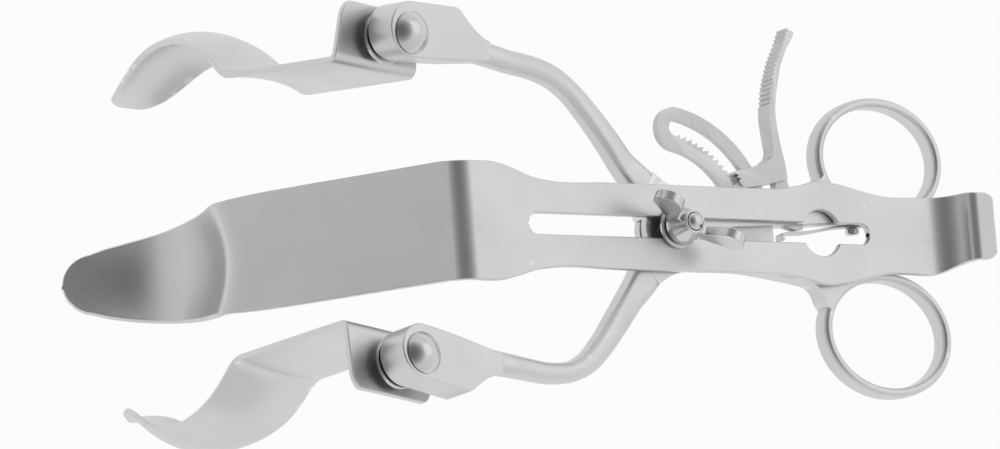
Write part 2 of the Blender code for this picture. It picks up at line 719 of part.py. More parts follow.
def leverOutline():
    """Plan of the lever's foot and its upright with the serrated thumb face."""
    foot = [(0.01852, 0.01022), (0.0206, 0.0103), (0.0247, 0.0112), (0.0296, 0.0126)]
    back = [(0.0291, 0.0161), (0.0284, 0.0191), (0.0276, 0.0231), (0.0274, 0.0269), (0.0278, 0.0301),
            (0.0283, 0.0326), (0.0292, 0.03625), (0.0309, 0.0400), (0.0327, 0.0428), (0.03295, 0.0437)]
    front = [(0.0313, 0.0445), (0.0302, 0.0417), (0.0294, 0.0402), (0.0281, 0.0375), (0.0269, 0.0340),
             (0.0262, 0.0312), (0.0258, 0.0280)]
    throat = [(0.0257, 0.0250), (0.0262, 0.0210), (0.0266, 0.0184), (0.0262, 0.0172), (0.0247, 0.0159),
              (0.0227, 0.0150), (0.0204, 0.0143), (0.0183, 0.0137)]
    line = evenly(front, 2 * serrations + 1)
    step = np.gradient(line, axis=0)
    step /= np.linalg.norm(step, axis=1)[:, None]
    inward = np.stack([-step[:, 1], step[:, 0]], axis=1)
    depth = serrationDepth * (np.arange(len(line)) % 2)
    line = line + inward * depth[:, None]
    nose = toothTip + gap
    start = atan2(throat[-1][1], throat[-1][0]) * 180.0 / pi + 1.6
    teeth = []
    for k in range(3):
        high = start - k * 2.4
        teeth.append(polar(nose + 0.0007, high))
        teeth.append(polar(nose, high - 0.7))
    return foot + back + [tuple(p) for p in line] + throat + teeth


def makeLever(parts, cutters, rig, material):
    """Thumb lever: serrated upright, toothed nose in the bar's slot, tail on a pin in the arm."""
    origin = (leverPinX, leverPinY)
    top = -leverDrop
    low = top - leverThick
    ob = flatPiece("ratchet_lever", leverOutline(), low, top, parts, rig, origin)
    inner = toothTip + gap + noseThick
    outer = barOuter + 2.0 * gap
    rail = arc(0.0, 0.0, inner, 12.0, 60.0, 21)
    rail += arc(0.0, 0.0, outer, 60.0, 12.0, 21)
    combine(ob, flatPiece("lever_rail_notch", rail, low - 0.001, barTop + gap, cutters, rig), "DIFFERENCE")
    heel = springTop(0.0320) + gap
    tail = [(leverPinX - 0.0016, 0.0150), (leverPinX - 0.0014, 0.0100), (leverPinX - 0.0018, leverPinY),
            (leverPinX - 0.0012, heel + 0.0014), (leverPinX + 0.0010, heel + 0.0004), (leverPinX + 0.0030, heel),
            (leverPinX + 0.0048, heel + 0.0003), (leverPinX + 0.0050, heel + 0.0014), (leverPinX + 0.0034, 0.0075),
            (leverPinX + 0.0018, 0.0115), (leverPinX + 0.0008, 0.0150)]
    tool = flatPiece("lever_tail", tail, armMiddle - 0.5 * leverTail, armMiddle + 0.5 * leverTail, cutters, rig)
    combine(ob, tool, "UNION")
    hole = flatPiece("lever_pin_hole", circle(leverPinRadius + gap, 20, leverPinX, leverPinY),
                     low - 0.001, top + 0.001, cutters, rig)
    combine(ob, hole, "DIFFERENCE")
    return finish(ob, material)


def springTop(x):
    """Upper line of the leaf spring, which leaves the shank behind and rises to the lever's heel."""
    fixed = float(through(shankInner, x)[0]) - gap
    free = fixed - 0.00105
    return free + (fixed - free) * float(ease((x - 0.0330) / 0.0110))


def makeSpring(parts, cutters, rig, material):
    """Leaf spring along the inner side of the upper shank, curled at its free end."""
    xs = [0.0488, 0.0465, 0.0440, 0.0415, 0.0390, 0.0365, 0.0340, 0.0315, 0.0290]
    line = [(x, springTop(x)) for x in xs]
    lastX, lastY = line[-1]
    curl = 0.0010
    line += arc(lastX, lastY - curl, curl, 105.0, 235.0, 7)[1:]
    line = np.array(line)
    step = np.gradient(line, axis=0)
    step /= np.linalg.norm(step, axis=1)[:, None]
    under = line + np.stack([-step[:, 1], step[:, 0]], axis=1) * springThick
    outline = [tuple(p) for p in line] + [tuple(p) for p in under[::-1]]
    ob = flatPiece("leaf_spring", outline, armMiddle - 0.5 * springWide, armMiddle + 0.5 * springWide, parts, rig)
    combine(ob, screwBore("spring_hole", cutters, rig), "DIFFERENCE")
    return finish(ob, material)


def screwFrame():
    """Place and turn of the spring's screw: its axis square to the shank's inner side."""
    ahead = through(shankInner, [screwX - 0.002, screwX + 0.002])
    slope = atan2(float(ahead[1] - ahead[0]), 0.004)
    location = (screwX, float(through(shankInner, screwX)[0]), armMiddle)
    return location, Euler((0.5 * pi, 0.0, slope))


def screwBore(name, cutters, rig):
    """Bore for the spring's screw."""
    location, rotation = screwFrame()
    radius = screwRadius + gap
    profile = [(0.0, 0.003), (radius, 0.003), (radius, -screwLong - gap), (0.0, -screwLong - gap)]
    return turned(name, profile, cutters, rig, 16, location=location, rotation=rotation)


def makeScrew(parts, rig, material):
    """Cheese-head screw that holds the spring."""
    location, rotation = screwFrame()
    foot = gap + springThick + gap
    head = foot + screwHeadThick
    profile = [(0.0, head), (screwHeadRadius - 0.0003, head), (screwHeadRadius, head - 0.0003),
               (screwHeadRadius, foot), (screwRadius, foot), (screwRadius, -screwLong), (0.0, -screwLong)]
    ob = turned("spring_screw", profile, parts, rig, 20, location=location, rotation=rotation)
    return finish(ob, material)


# Pivot

def makeStud(parts, rig, material):
    """Pivot stud: flat head under the arms and a domed end above the wing nut."""
    low = armBottom - gap
    profile = [(0.0, studTop)]
    for a in (35.0, 65.0):
        profile.append((studRadius * sin(radians(a)), studTop - 0.0010 * (1.0 - cos(radians(a)))))
    profile += [(studRadius, studTop - 0.0010), (studRadius, low), (studHeadRadius, low),
                (studHeadRadius, low - 0.6 * studHeadThick), (studHeadRadius - 0.0006, low - studHeadThick),
                (0.0, low - studHeadThick)]
    return finish(turned("pivot_stud", profile, parts, rig), material)


def ringProfile(outer, inner, low, high):
    """Section of a flat washer with its outer corners broken."""
    broken = 0.2 * (high - low)
    return [(inner, high), (outer - broken, high), (outer, high - broken), (outer, low + broken),
            (outer - broken, low), (inner, low)]


def makeClampWasher(parts, rig, material):
    """Washer between the plate and the wing nut."""
    profile = ringProfile(clampRadius, studRadius + gap, gap, gap + clampThick)
    return finish(turned("clamp_washer", profile, parts, rig, closed=True), material)


def makeWingNut(parts, cutters, rig, material):
    """Wing nut: tapered hub and two upswept rounded wings."""
    foot = 2.0 * gap + clampThick
    top = foot + hubHeight
    profile = [(0.0, top), (hubTop - 0.0003, top), (hubTop, top - 0.0003), (hubTop + 0.0002, top - 0.0012),
               (hubFoot, foot + 0.0012), (hubFoot, foot + 0.0003), (hubFoot - 0.0003, foot), (0.0, foot)]
    ob = turned("wing_nut", profile, parts, rig)
    cx, cy = wingReach - wingLobe, wingHigh - wingLobe
    outline = [(0.0012, foot + 0.0010), (0.0034, foot + 0.0012), (0.0060, foot + 0.0027), (wingReach - 0.0022, cy - 0.0026)]
    outline += arc(cx, cy, wingLobe, -45.0, 135.0, 13)
    outline += [(cx - 0.0032, cy + 0.0006), (0.0036, top - 0.0010), (0.0012, top - 0.0012)]
    for k, turn in enumerate((wingTurn, wingTurn + 180.0)):
        wing = flatPiece("wing_%d" % (k + 1), outline, -0.5 * wingThick, 0.5 * wingThick, cutters, rig)
        wing.rotation_euler = (0.5 * pi, 0.0, radians(turn))
        roundEdges(wing, 0.0005)
        combine(ob, wing, "UNION")
    bore = flatPiece("wing_nut_bore", circle(studRadius + gap, 28), -0.002, 0.016, cutters, rig)
    combine(ob, bore, "DIFFERENCE")
    return finish(ob, material)


# Side blades

def makeSideBlade(side, parts, cutters, rig, material):
    """Bent sheet: flange under the head, body down from its inner edge, arched lip at the end."""
    top = -headThick - swivelWasherThick - 2.0 * gap
    low = top - sideSheet
    inward = flangeIns[side]
    line = []
    for y, cut in ((flangeOut, 0.0022), (flangeOut - 0.0006, 0.0009), (flangeOut - 0.0018, 0.0002),
                   (flangeOut - 0.0035, 0.0), (0.0, 0.0), (-0.5 * inward, 0.0), (-inward, 0.0)):
        slant = flangeSlant * (y + inward) / (flangeOut + inward)
        line.append((y, low, flangeFront - slant - cut, flangeBack - cut))
    for t in np.linspace(0.0, 1.0, 8)[1:]:
        line.append((-inward - sideBend * sin(0.5 * pi * t), low - sideBend * (1.0 - cos(0.5 * pi * t)),
                     flangeFront, flangeBack))
    bodyY, bodyZ = line[-1][:2]
    for t in (0.25, 0.5, 0.7, 0.82, 0.92):
        line.append((bodyY, bodyZ - sideBody * t, flangeFront, flangeBack))
    rise = [(0.0, 0.0), (0.04, 0.033), (0.08, 0.14), (0.12, 0.314), (0.17, 0.525), (0.23, 0.721), (0.30, 0.867),
            (0.37, 0.962), (0.44, 1.005), (0.51, 0.991), (0.58, 0.920), (0.65, 0.776), (0.72, 0.562), (0.79, 0.327),
            (0.86, 0.135), (0.93, 0.038), (1.0, 0.067)]
    taper = [(0.0, 1.0), (0.12, 0.975), (0.30, 0.925), (0.44, 0.865), (0.58, 0.793), (0.72, 0.697), (0.86, 0.508),
             (0.94, 0.323), (1.0, 0.052)]
    hollow = [(0.0, 0.45), (0.15, 0.85), (0.35, 1.0), (0.60, 0.906), (0.85, 0.594), (1.0, 0.094)]
    dish = [0.45 * sideLipDish * float(ease((bodyZ - 0.6 * sideBody - row[1]) / (0.4 * sideBody))) for row in line]
    for t in list(np.linspace(0.0, 0.92, 24)) + [0.95, 0.975, 0.99, 1.0]:
        out = sideLipRise * float(through(rise, t)[0])
        wide = float(through(taper, t)[0])
        line.append((bodyY + out, bodyZ - sideBody - sideLipLong * t, flangeFront * wide, flangeBack * wide))
        dish.append(sideLipDish * float(through(hollow, t)[0]))
    line = np.array(line)
    close = sin(radians(sideCloses[side])) / cos(radians(sideCloses[side]))
    line[:, 0] -= close * np.maximum(0.0, bodyZ - line[:, 1])
    across = np.linspace(-1.0, 1.0, 9)
    tangent = np.gradient(line[:, :2], axis=0)
    tangent /= np.linalg.norm(tangent, axis=1)[:, None]
    bulge = np.array(dish)[:, None] * (1.0 - across ** 2)
    grid = np.zeros((len(line), len(across), 3))
    grid[:, :, 0] = 0.5 * (line[:, 3:4] - line[:, 2:3]) + 0.5 * (line[:, 3:4] + line[:, 2:3]) * across
    grid[:, :, 1] = (line[:, 0:1] - tangent[:, 1:2] * bulge) * side
    grid[:, :, 2] = line[:, 1:2] + tangent[:, 0:1] * bulge - top
    name = sides[side] + "_side_blade"
    ob = sheetPiece(name, grid, sideSheet, -float(side), parts, rig, (0.0, 0.0, top))
    bore = flatPiece(name + "_bore", circle(rivetRadius + gap, 28), top - 0.004, top + 0.002, cutters, rig)
    combine(ob, bore, "DIFFERENCE")
    return finish(ob, material)


def makeSwivel(side, parts, head, material):
    """Domed rivet through head and flange, spacing washer between them, nut underneath."""
    name = sides[side]
    top = -headThick - gap
    flange = top - swivelWasherThick - gap
    under = flange - sideSheet - gap
    low = under - nutThick - gap
    ball = (domeRadius ** 2 + domeHeight ** 2) / (2.0 * domeHeight)
    profile = []
    for t in np.linspace(0.0, 1.0, 7):
        r = domeRadius * t
        profile.append((r, gap + domeHeight - ball + sqrt(ball ** 2 - r ** 2)))
    profile += [(rivetRadius, gap), (rivetRadius, low), (0.0, low)]
    rivet = turned(name + "_blade_rivet", profile, parts, head)
    washer = turned(name + "_blade_washer", ringProfile(swivelWasherRadius, rivetRadius + gap,
                                                        top - swivelWasherThick, top), parts, head, closed=True)
    nut = turned(name + "_blade_nut", ringProfile(nutRadius, rivetRadius + gap, under - nutThick, under),
                 parts, head, closed=True)
    return [finish(ob, material) for ob in (rivet, washer, nut)]


def worldPoints(objects):
    """Corner points of objects after their modifiers, in world axes."""
    graph = bpy.context.evaluated_depsgraph_get()
    found = []
    for ob in objects:
        mesh = bpy.data.meshes.new_from_object(ob.evaluated_get(graph))
        flat = np.empty(len(mesh.vertices) * 3)
        mesh.vertices.foreach_get("co", flat)
        bpy.data.meshes.remove(mesh)
        matrix = np.array(ob.matrix_world)
        found.append(flat.reshape(-1, 3) @ matrix[:3, :3].T + matrix[:3, 3])
    return np.vstack(found)


def standUp(rig, blades, arms, everything):
    """Tilt the instrument until it stands on its lowest blade tip and both rings, centred, at z = 0."""
    bladePoints = worldPoints(blades)
    ringPoints = worldPoints(arms)
    ringPoints = ringPoints[ringPoints[:, 0] > 0.5 * ringX]
    low, high = 0.0, radians(50.0)
    for _ in range(50):
        tilt = 0.5 * (low + high)
        bladeLow = (bladePoints[:, 2] * cos(tilt) - bladePoints[:, 0] * sin(tilt)).min()
        ringLow = (ringPoints[:, 2] * cos(tilt) - ringPoints[:, 0] * sin(tilt)).min()
        if bladeLow < ringLow:
            low = tilt
        else:
            high = tilt
    rig.rotation_euler = (0.0, tilt, 0.0)
    bpy.context.view_layer.update()
    points = worldPoints(everything)
    middle = 0.5 * (points.min(axis=0) + points.max(axis=0))
    rig.location = (-middle[0], -middle[1], -points[:, 2].min())
    bpy.context.view_layer.update()
    print("tilt %.4f degrees, pivot at" % (tilt * 180.0 / pi), [round(v, 6) for v in rig.location])
    print("size", np.round(points.max(axis=0) - points.min(axis=0), 5))


def build():
    """Make every piece and stand the instrument on its blade tips and rings."""
    parts, cutters = startCollections()
    rig = frameEmpty("instrument_rig", parts, None)
    turn = radians(bladeSwivel)
    bladeRig = frameEmpty("centre_blade_rig", parts, rig, (bladeSlide * cos(turn), bladeSlide * sin(turn), 0.0),
                          (0.0, 0.0, turn))
    satin = steel("satin_plate_steel", (0.66, 0.67, 0.68), 0.34)
    forged = steel("satin_forged_steel", (0.68, 0.69, 0.70), 0.30)
    formed = steel("satin_blade_steel", (0.62, 0.63, 0.65), 0.32)
    bright = steel("bright_fitting_steel", (0.60, 0.61, 0.62), 0.24)
    ground = steel("ground_ratchet_steel", (0.70, 0.70, 0.71), 0.30)
    sprung = steel("spring_steel", (0.55, 0.55, 0.57), 0.28)
    blade = makeCentreBlade(parts, cutters, bladeRig, satin)
    made = [blade]
    blades = [blade]
    arms = []
    for side in (1, -1):
        armRig = frameEmpty(sides[side] + "_arm_rig", parts, rig)
        location, rotation = headFrame(side)
        head = frameEmpty(sides[side] + "_head_rig", parts, armRig, location, rotation)
        swivel = frameEmpty(sides[side] + "_blade_rig", parts, head, rotation=(0.0, 0.0, radians(sideTurns[side] * side)))
        arms.append(makeArm(side, parts, cutters, armRig, head, forged))
        blades.append(makeSideBlade(side, parts, cutters, swivel, formed))
        made += makeSwivel(side, parts, head, bright)
        if side > 0:
            made.append(makeLever(parts, cutters, armRig, ground))
            made.append(crossPin("lever_pin", leverPinRadius, leverPinX, leverPinY, parts, armRig, bright))
            made.append(makeSpring(parts, cutters, armRig, sprung))
            made.append(makeScrew(parts, armRig, bright))
        else:
            made.append(makeRatchetBar(parts, cutters, armRig, ground))
            for k, (x, y) in enumerate(barRivetPlaces()):
                made.append(crossPin("bar_rivet_%d" % (k + 1), barRivetRadius, x, y, parts, armRig, bright))
    made += arms + blades[1:]
    made.append(makeStud(parts, rig, bright))
    made.append(makeClampWasher(parts, rig, bright))
    made.append(makeWingNut(parts, cutters, rig, bright))
    bpy.context.view_layer.update()
    standUp(rig, blades, arms, made)
    print("pieces", len(made))


build()
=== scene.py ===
# Rectal retractor, dressed for a catalogue picture
import json
import bpy
import bmesh
import numpy as np
from mathutils import Matrix, Vector


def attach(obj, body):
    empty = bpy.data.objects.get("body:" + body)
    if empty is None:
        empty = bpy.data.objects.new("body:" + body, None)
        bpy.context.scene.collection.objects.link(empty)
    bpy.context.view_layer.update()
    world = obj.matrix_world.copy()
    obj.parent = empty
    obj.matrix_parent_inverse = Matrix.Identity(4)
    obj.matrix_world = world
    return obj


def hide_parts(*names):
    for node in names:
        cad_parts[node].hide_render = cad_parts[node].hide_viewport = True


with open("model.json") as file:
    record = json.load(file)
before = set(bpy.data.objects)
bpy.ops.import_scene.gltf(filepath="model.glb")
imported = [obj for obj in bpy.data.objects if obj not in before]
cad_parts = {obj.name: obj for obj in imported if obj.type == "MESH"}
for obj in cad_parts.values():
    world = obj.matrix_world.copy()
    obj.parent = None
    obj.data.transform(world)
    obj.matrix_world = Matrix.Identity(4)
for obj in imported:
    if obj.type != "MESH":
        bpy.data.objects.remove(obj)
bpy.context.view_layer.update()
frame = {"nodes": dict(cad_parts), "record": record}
joints = {j["name"]: j for j in frame["record"]["behaviour"]["joints"]}
mm = 0.001


def asArray(values):
    return np.array(values, dtype=float)


# the arms' and the plate's own axes as columns, taken from the record's joints
pivot = asArray(joints["upper_arm_swing"]["pos_m"])
rigUp = asArray(joints["upper_arm_swing"]["axis"])
rigUp /= np.linalg.norm(rigUp)
rigSide = asArray([0.0, 1.0, 0.0])
rigAxes = np.stack([np.cross(rigSide, rigUp), rigSide, rigUp], axis=1)
plateAlong = asArray(joints["blade_slide"]["axis"])
plateAlong /= np.linalg.norm(plateAlong)
plateAxes = np.stack([plateAlong, np.cross(rigUp, plateAlong), rigUp], axis=1)


def turnAbout(axis, degrees):
    # turning matrix about one of the own axes
    return np.array(Matrix.Rotation(np.radians(degrees), 3, axis))


def placed(points, origin, axes):
    # millimetres in a piece's own axes to metres in the scene: origin + axes . point
    return origin + (points * mm) @ axes.T


steelLook = {
    "satinPlate": {"slot": "satin_plate_steel", "tone": 0.65, "warm": 0.0, "rough": 0.36,
                   "grain": (60.0, 900.0, 900.0), "bump": 0.05},
    "satinForged": {"slot": "satin_forged_steel", "tone": 0.64, "warm": 0.0, "rough": 0.33,
                    "grain": (500.0, 500.0, 500.0), "bump": 0.04},
    "satinBlade": {"slot": "satin_blade_steel", "tone": 0.66, "warm": -0.004, "rough": 0.34,
                   "grain": (700.0, 120.0, 700.0), "bump": 0.05},
    "brightFitting": {"slot": "bright_fitting_steel", "tone": 0.62, "warm": 0.0, "rough": 0.20,
                      "grain": (300.0, 300.0, 300.0), "bump": 0.02},
    "groundRatchet": {"slot": "ground_ratchet_steel", "tone": 0.54, "warm": 0.0, "rough": 0.36,
                      "grain": (900.0, 200.0, 900.0), "bump": 0.05},
    "springSteel": {"slot": "spring_steel", "tone": 0.52, "warm": 0.01, "rough": 0.28,
                    "grain": (200.0, 900.0, 900.0), "bump": 0.03},
}
# edgeHighlightGain sets how much the painted highlight brightens the tone along convex edges
steelShared = {"marks": 0.25, "smearScale": 55.0, "smearSpread": 0.7, "edgeHighlightGain": 1.18, "smearRough": 0.05,
               "glossLow": -0.04, "glossHigh": 0.05, "bumpDeep": 0.0001}


def newGroup(name, inputs, outputs):
    # an empty shader node group with its named sockets
    group = bpy.data.node_groups.new(name, "ShaderNodeTree")
    for label, kind, value in inputs:
        group.interface.new_socket(name=label, in_out="INPUT", socket_type=kind).default_value = value
    for label, kind in outputs:
        group.interface.new_socket(name=label, in_out="OUTPUT", socket_type=kind)
    return group, group.nodes.new("NodeGroupInput"), group.nodes.new("NodeGroupOutput")


def makeGrainGroup():
    # Height: fine noise stretched by Stretch, plus a few sparse hairline marks
    group, start, end = newGroup("steelGrain", [("Stretch", "NodeSocketVector", (500.0, 500.0, 500.0)),
                                                ("Marks", "NodeSocketFloat", 0.3)],
                                 [("Height", "NodeSocketFloat"), ("Streak", "NodeSocketFloat")])
    nodes, links = group.nodes, group.links
    coords = nodes.new("ShaderNodeTexCoord")
    scaled = nodes.new("ShaderNodeVectorMath")
    scaled.operation = "MULTIPLY"
    links.new(coords.outputs["Object"], scaled.inputs[0])
    links.new(start.outputs["Stretch"], scaled.inputs[1])
    fine = nodes.new("ShaderNodeTexNoise")
    fine.inputs["Scale"].default_value = 6.0
    fine.inputs["Detail"].default_value = 4.0
    fine.inputs["Roughness"].default_value = 0.65
    links.new(scaled.outputs[0], fine.inputs["Vector"])
    sparse = nodes.new("ShaderNodeTexNoise")
    sparse.inputs["Scale"].default_value = 1.4
    sparse.inputs["Detail"].default_value = 2.0
    links.new(scaled.outputs[0], sparse.inputs["Vector"])
    pick = nodes.new("ShaderNodeMapRange")
    pick.inputs["From Min"].default_value = 0.60
    pick.inputs["From Max"].default_value = 0.72
    links.new(sparse.outputs["Fac"], pick.inputs["Value"])
    depth = nodes.new("ShaderNodeMath")
    depth.operation = "MULTIPLY"
    links.new(pick.outputs["Result"], depth.inputs[0])
    links.new(start.outputs["Marks"], depth.inputs[1])
    total = nodes.new("ShaderNodeMath")
    total.operation = "SUBTRACT"
    links.new(fine.outputs["Fac"], total.inputs[0])
    links.new(depth.outputs[0], total.inputs[1])
    links.new(total.outputs[0], end.inputs["Height"])
    links.new(fine.outputs["Fac"], end.inputs["Streak"])
    return group


def makeSmearAndEdgeHighlightGroup():
    # Smear: slow cloudy patches, as left by wiping; Edge: 1 along convex edges, the mask of a painted edge highlight
    group, start, end = newGroup("steelSmearAndEdgeHighlight", [("Scale", "NodeSocketFloat", 60.0),
                                                   ("Spread", "NodeSocketFloat", 0.5)],
                                 [("Smear", "NodeSocketFloat"), ("Edge", "NodeSocketFloat")])
    nodes, links = group.nodes, group.links
    coords = nodes.new("ShaderNodeTexCoord")
    cloud = nodes.new("ShaderNodeTexNoise")
    cloud.inputs["Detail"].default_value = 5.0
    cloud.inputs["Distortion"].default_value = 0.6
    links.new(coords.outputs["Object"], cloud.inputs["Vector"])
    links.new(start.outputs["Scale"], cloud.inputs["Scale"])
    soft = nodes.new("ShaderNodeMapRange")
    soft.inputs["From Min"].default_value = 0.35
    soft.inputs["From Max"].default_value = 0.68
    links.new(cloud.outputs["Fac"], soft.inputs["Value"])
    spread = nodes.new("ShaderNodeMath")
    spread.operation = "MULTIPLY"
    links.new(soft.outputs["Result"], spread.inputs[0])
    links.new(start.outputs["Spread"], spread.inputs[1])
    links.new(spread.outputs[0], end.inputs["Smear"])
    # painted highlight: Pointiness picks out convex edges, which are then brightened in the colour
    geometry = nodes.new("ShaderNodeNewGeometry")
    edge = nodes.new("ShaderNodeMapRange")
    edge.inputs["From Min"].default_value = 0.53
    edge.inputs["From Max"].default_value = 0.62
    links.new(geometry.outputs["Pointiness"], edge.inputs["Value"])
    links.new(edge.outputs["Result"], end.inputs["Edge"])
    return group


grainGroup = makeGrainGroup()
smearAndHighlightGroup = makeSmearAndEdgeHighlightGroup()


def makeSteel(name, look):
    # satin or polished steel: tone clouded by wiping smears, a painted highlight brightening the convex edges,
    # roughness and bump from the grain
    material = bpy.data.materials.new(name)
    material.use_nodes = True
    nodes, links = material.node_tree.nodes, material.node_tree.links
    shader = nodes["Principled BSDF"]
    shader.inputs["Metallic"].default_value = 1.0
    grain = nodes.new("ShaderNodeGroup")
    grain.node_tree = grainGroup
    grain.inputs["Stretch"].default_value = look["grain"]
    grain.inputs["Marks"].default_value = steelShared["marks"]
    smearAndHighlight = nodes.new("ShaderNodeGroup")
    smearAndHighlight.node_tree = smearAndHighlightGroup
    smearAndHighlight.inputs["Scale"].default_value = steelShared["smearScale"]
    smearAndHighlight.inputs["Spread"].default_value = steelShared["smearSpread"]
    tone, warm = look["tone"], look["warm"]
    colour = nodes.new("ShaderNodeMix")
    colour.data_type = "RGBA"
    colour.inputs["A"].default_value = (tone + warm, tone + 0.006, tone + 0.010 - warm, 1.0)
    colour.inputs["B"].default_value = (tone * 0.955 + warm, tone * 0.96, tone * 0.97 - warm, 1.0)
    links.new(smearAndHighlight.outputs["Smear"], colour.inputs["Factor"])
    # painted highlight: the base colour is raised along convex edges to stand in for the light they catch
    bright = nodes.new("ShaderNodeMix")
    bright.data_type = "RGBA"
    bright.inputs["B"].default_value = (min(1.0, tone * steelShared["edgeHighlightGain"]),) * 3 + (1.0,)
    links.new(colour.outputs["Result"], bright.inputs["A"])
    links.new(smearAndHighlight.outputs["Edge"], bright.inputs["Factor"])
    links.new(bright.outputs["Result"], shader.inputs["Base Color"])
    gloss = nodes.new("ShaderNodeMapRange")
    gloss.inputs["From Min"].default_value = 0.3
    gloss.inputs["From Max"].default_value = 0.7
    gloss.inputs["To Min"].default_value = look["rough"] + steelShared["glossLow"]
    gloss.inputs["To Max"].default_value = look["rough"] + steelShared["glossHigh"]
    links.new(grain.outputs["Streak"], gloss.inputs["Value"])
    worn = nodes.new("ShaderNodeMath")
    worn.operation = "MULTIPLY_ADD"
    worn.inputs[1].default_value = steelShared["smearRough"]
    links.new(smearAndHighlight.outputs["Smear"], worn.inputs[0])
    links.new(gloss.outputs["Result"], worn.inputs[2])
    links.new(worn.outputs[0], shader.inputs["Roughness"])
    bump = nodes.new("ShaderNodeBump")
    bump.inputs["Strength"].default_value = look["bump"]
    bump.inputs["Distance"].default_value = steelShared["bumpDeep"]
    links.new(grain.outputs["Height"], bump.inputs["Height"])
    links.new(bump.outputs["Normal"], shader.inputs["Normal"])
    return material


steels = {name: makeSteel(name, look) for name, look in steelLook.items()}
print("steels made")


def eased(t):
    # 3t^2 - 2t^3, held between 0 and 1
    t = np.clip(t, 0.0, 1.0)
    return t * t * (3.0 - 2.0 * t)


def through(points, at):
    # smooth curve through (x, y) points: cubic Hermite with central slopes
    px, py = np.array(points, dtype=float).T
    if px[0] > px[-1]:
        px, py = px[::-1], py[::-1]
    at = np.asarray(at, dtype=float)
    slope = np.gradient(py, px)
    i = np.clip(np.searchsorted(px, at) - 1, 0, len(px) - 2)
    h = px[i + 1] - px[i]
    t = np.clip((at - px[i]) / h, 0.0, 1.0)
    blend = (2 * t ** 3 - 3 * t ** 2 + 1) * py[i] + (3 * t ** 2 - 2 * t ** 3) * py[i + 1]
    return blend + (t ** 3 - 2 * t ** 2 + t) * h * slope[i] + (t ** 3 - t ** 2) * h * slope[i + 1]


def unit(vectors):
    return vectors / np.linalg.norm(vectors, axis=-1, keepdims=True)


def runAlong(path):
    # way along a path up to each of its points: the sum of the steps before it
    return np.concatenate([[0.0], np.cumsum(np.linalg.norm(np.diff(path, axis=0), axis=1))])


def powered(values, power):
    # sign(v) |v|^p, which squares up a circle's cosine and sine
    return np.sign(values) * np.abs(values) ** power


def arc(cx, cy, radius, start, end, count):
    # circle points from start to end degrees
    a = np.radians(np.linspace(start, end, count))
    return np.stack([cx + radius * np.cos(a), cy + radius * np.sin(a)], axis=1)


def gridFaces(rows, cols, wrapRows=False, wrapCols=False, first=0):
    # quads of a rows x cols grid of points numbered row by row
    i = np.arange(rows if wrapRows else rows - 1)[:, None]
    j = np.arange(cols if wrapCols else cols - 1)[None, :]
    a = i * cols + j
    b = i * cols + (j + 1) % cols
    c = ((i + 1) % rows) * cols + (j + 1) % cols
    d = ((i + 1) % rows) * cols + j
    return np.stack([a, b, c, d], axis=-1).reshape(-1, 4) + first


def newPiece(name, points, faces, weld=0.0, outward=True):
    # a mesh object at the origin, its doubles merged and its faces turned outwards
    mesh = bpy.data.meshes.new(name)
    mesh.from_pydata(points.tolist(), [], [list(face) for face in faces])
    bm = bmesh.new()
    bm.from_mesh(mesh)
    if weld:
        bmesh.ops.remove_doubles(bm, verts=bm.verts, dist=weld)
    if outward:
        bmesh.ops.recalc_face_normals(bm, faces=bm.faces)
    bm.to_mesh(mesh)
    bm.free()
    mesh.update()
    ob = bpy.data.objects.new(name, mesh)
    bpy.context.scene.collection.objects.link(ob)
    return ob


def softEdges(ob, width, segments=3, angle=38.0):
    # rounded edges where two faces meet at more than angle
    bevel = ob.modifiers.new("softEdges", "BEVEL")
    bevel.width = width * mm
    bevel.segments = segments
    bevel.limit_method = "ANGLE"
    bevel.angle_limit = np.radians(angle)
    bevel.harden_normals = True
    bevel.miter_outer = "MITER_ARC"


def dress(ob, steel, body, nodes, sharp=32.0):
    # finish, shading and the body it rides on, in place of its nodes
    ob.data.materials.clear()
    ob.data.materials.append(steels[steel])
    ob.data.shade_smooth()
    ob.data.set_sharp_from_angle(angle=np.radians(sharp))
    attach(ob, body)
    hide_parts(*nodes)
    return ob


def slab(name, outline, low, high, origin, axes, bend=None):
    # flat outline carried from low to high; bend gives the low face its own height at each x
    count = len(outline)
    z0 = np.full(count, float(low)) if bend is None else bend(outline[:, 0])
    bottom = np.column_stack([outline, z0])
    top = np.column_stack([outline, np.full(count, float(high))])
    faces = [list(f) for f in gridFaces(2, count, wrapCols=True)]
    faces += [list(range(count)), list(range(count, 2 * count))]
    return newPiece(name, placed(np.vstack([bottom, top]), origin, axes), faces)


def lathe(name, profile, origin, axes, steps=72):
    # (radius, height) profile turned about the third axis: (r cos a, r sin a, h)
    profile = np.array(profile, dtype=float)
    a = np.linspace(0.0, 2.0 * np.pi, steps, endpoint=False)
    r, h = profile[:, 0:1], profile[:, 1:2]
    points = np.stack([r * np.cos(a), r * np.sin(a), h + 0.0 * a], axis=-1)
    return newPiece(name, placed(points.reshape(-1, 3), origin, axes), gridFaces(len(profile), steps, wrapCols=True),
                    weld=1e-7)


def rimSteps(r, count=7):
    # distances from an edge at which its rounding is drawn: r (1 - cos a)
    return r * (1.0 - np.cos(np.radians(np.linspace(0.0, 90.0, count))))


def acrossSteps(left, right, rim, inner=19):
    # columns from the left to the right edge of each row, close together along both edges, and how far each
    # column is from the nearer edge
    width = (right - left)[:, None]
    near = np.minimum(rimSteps(rim)[None, :], 0.24 * width)
    middle = near[:, -1:] + (width - 2.0 * near[:, -1:]) * np.linspace(0.0, 1.0, inner + 2)[None, 1:-1]
    run = np.hstack([near, middle, width - near[:, ::-1]])
    return left[:, None] + run, np.minimum(run, width - run)


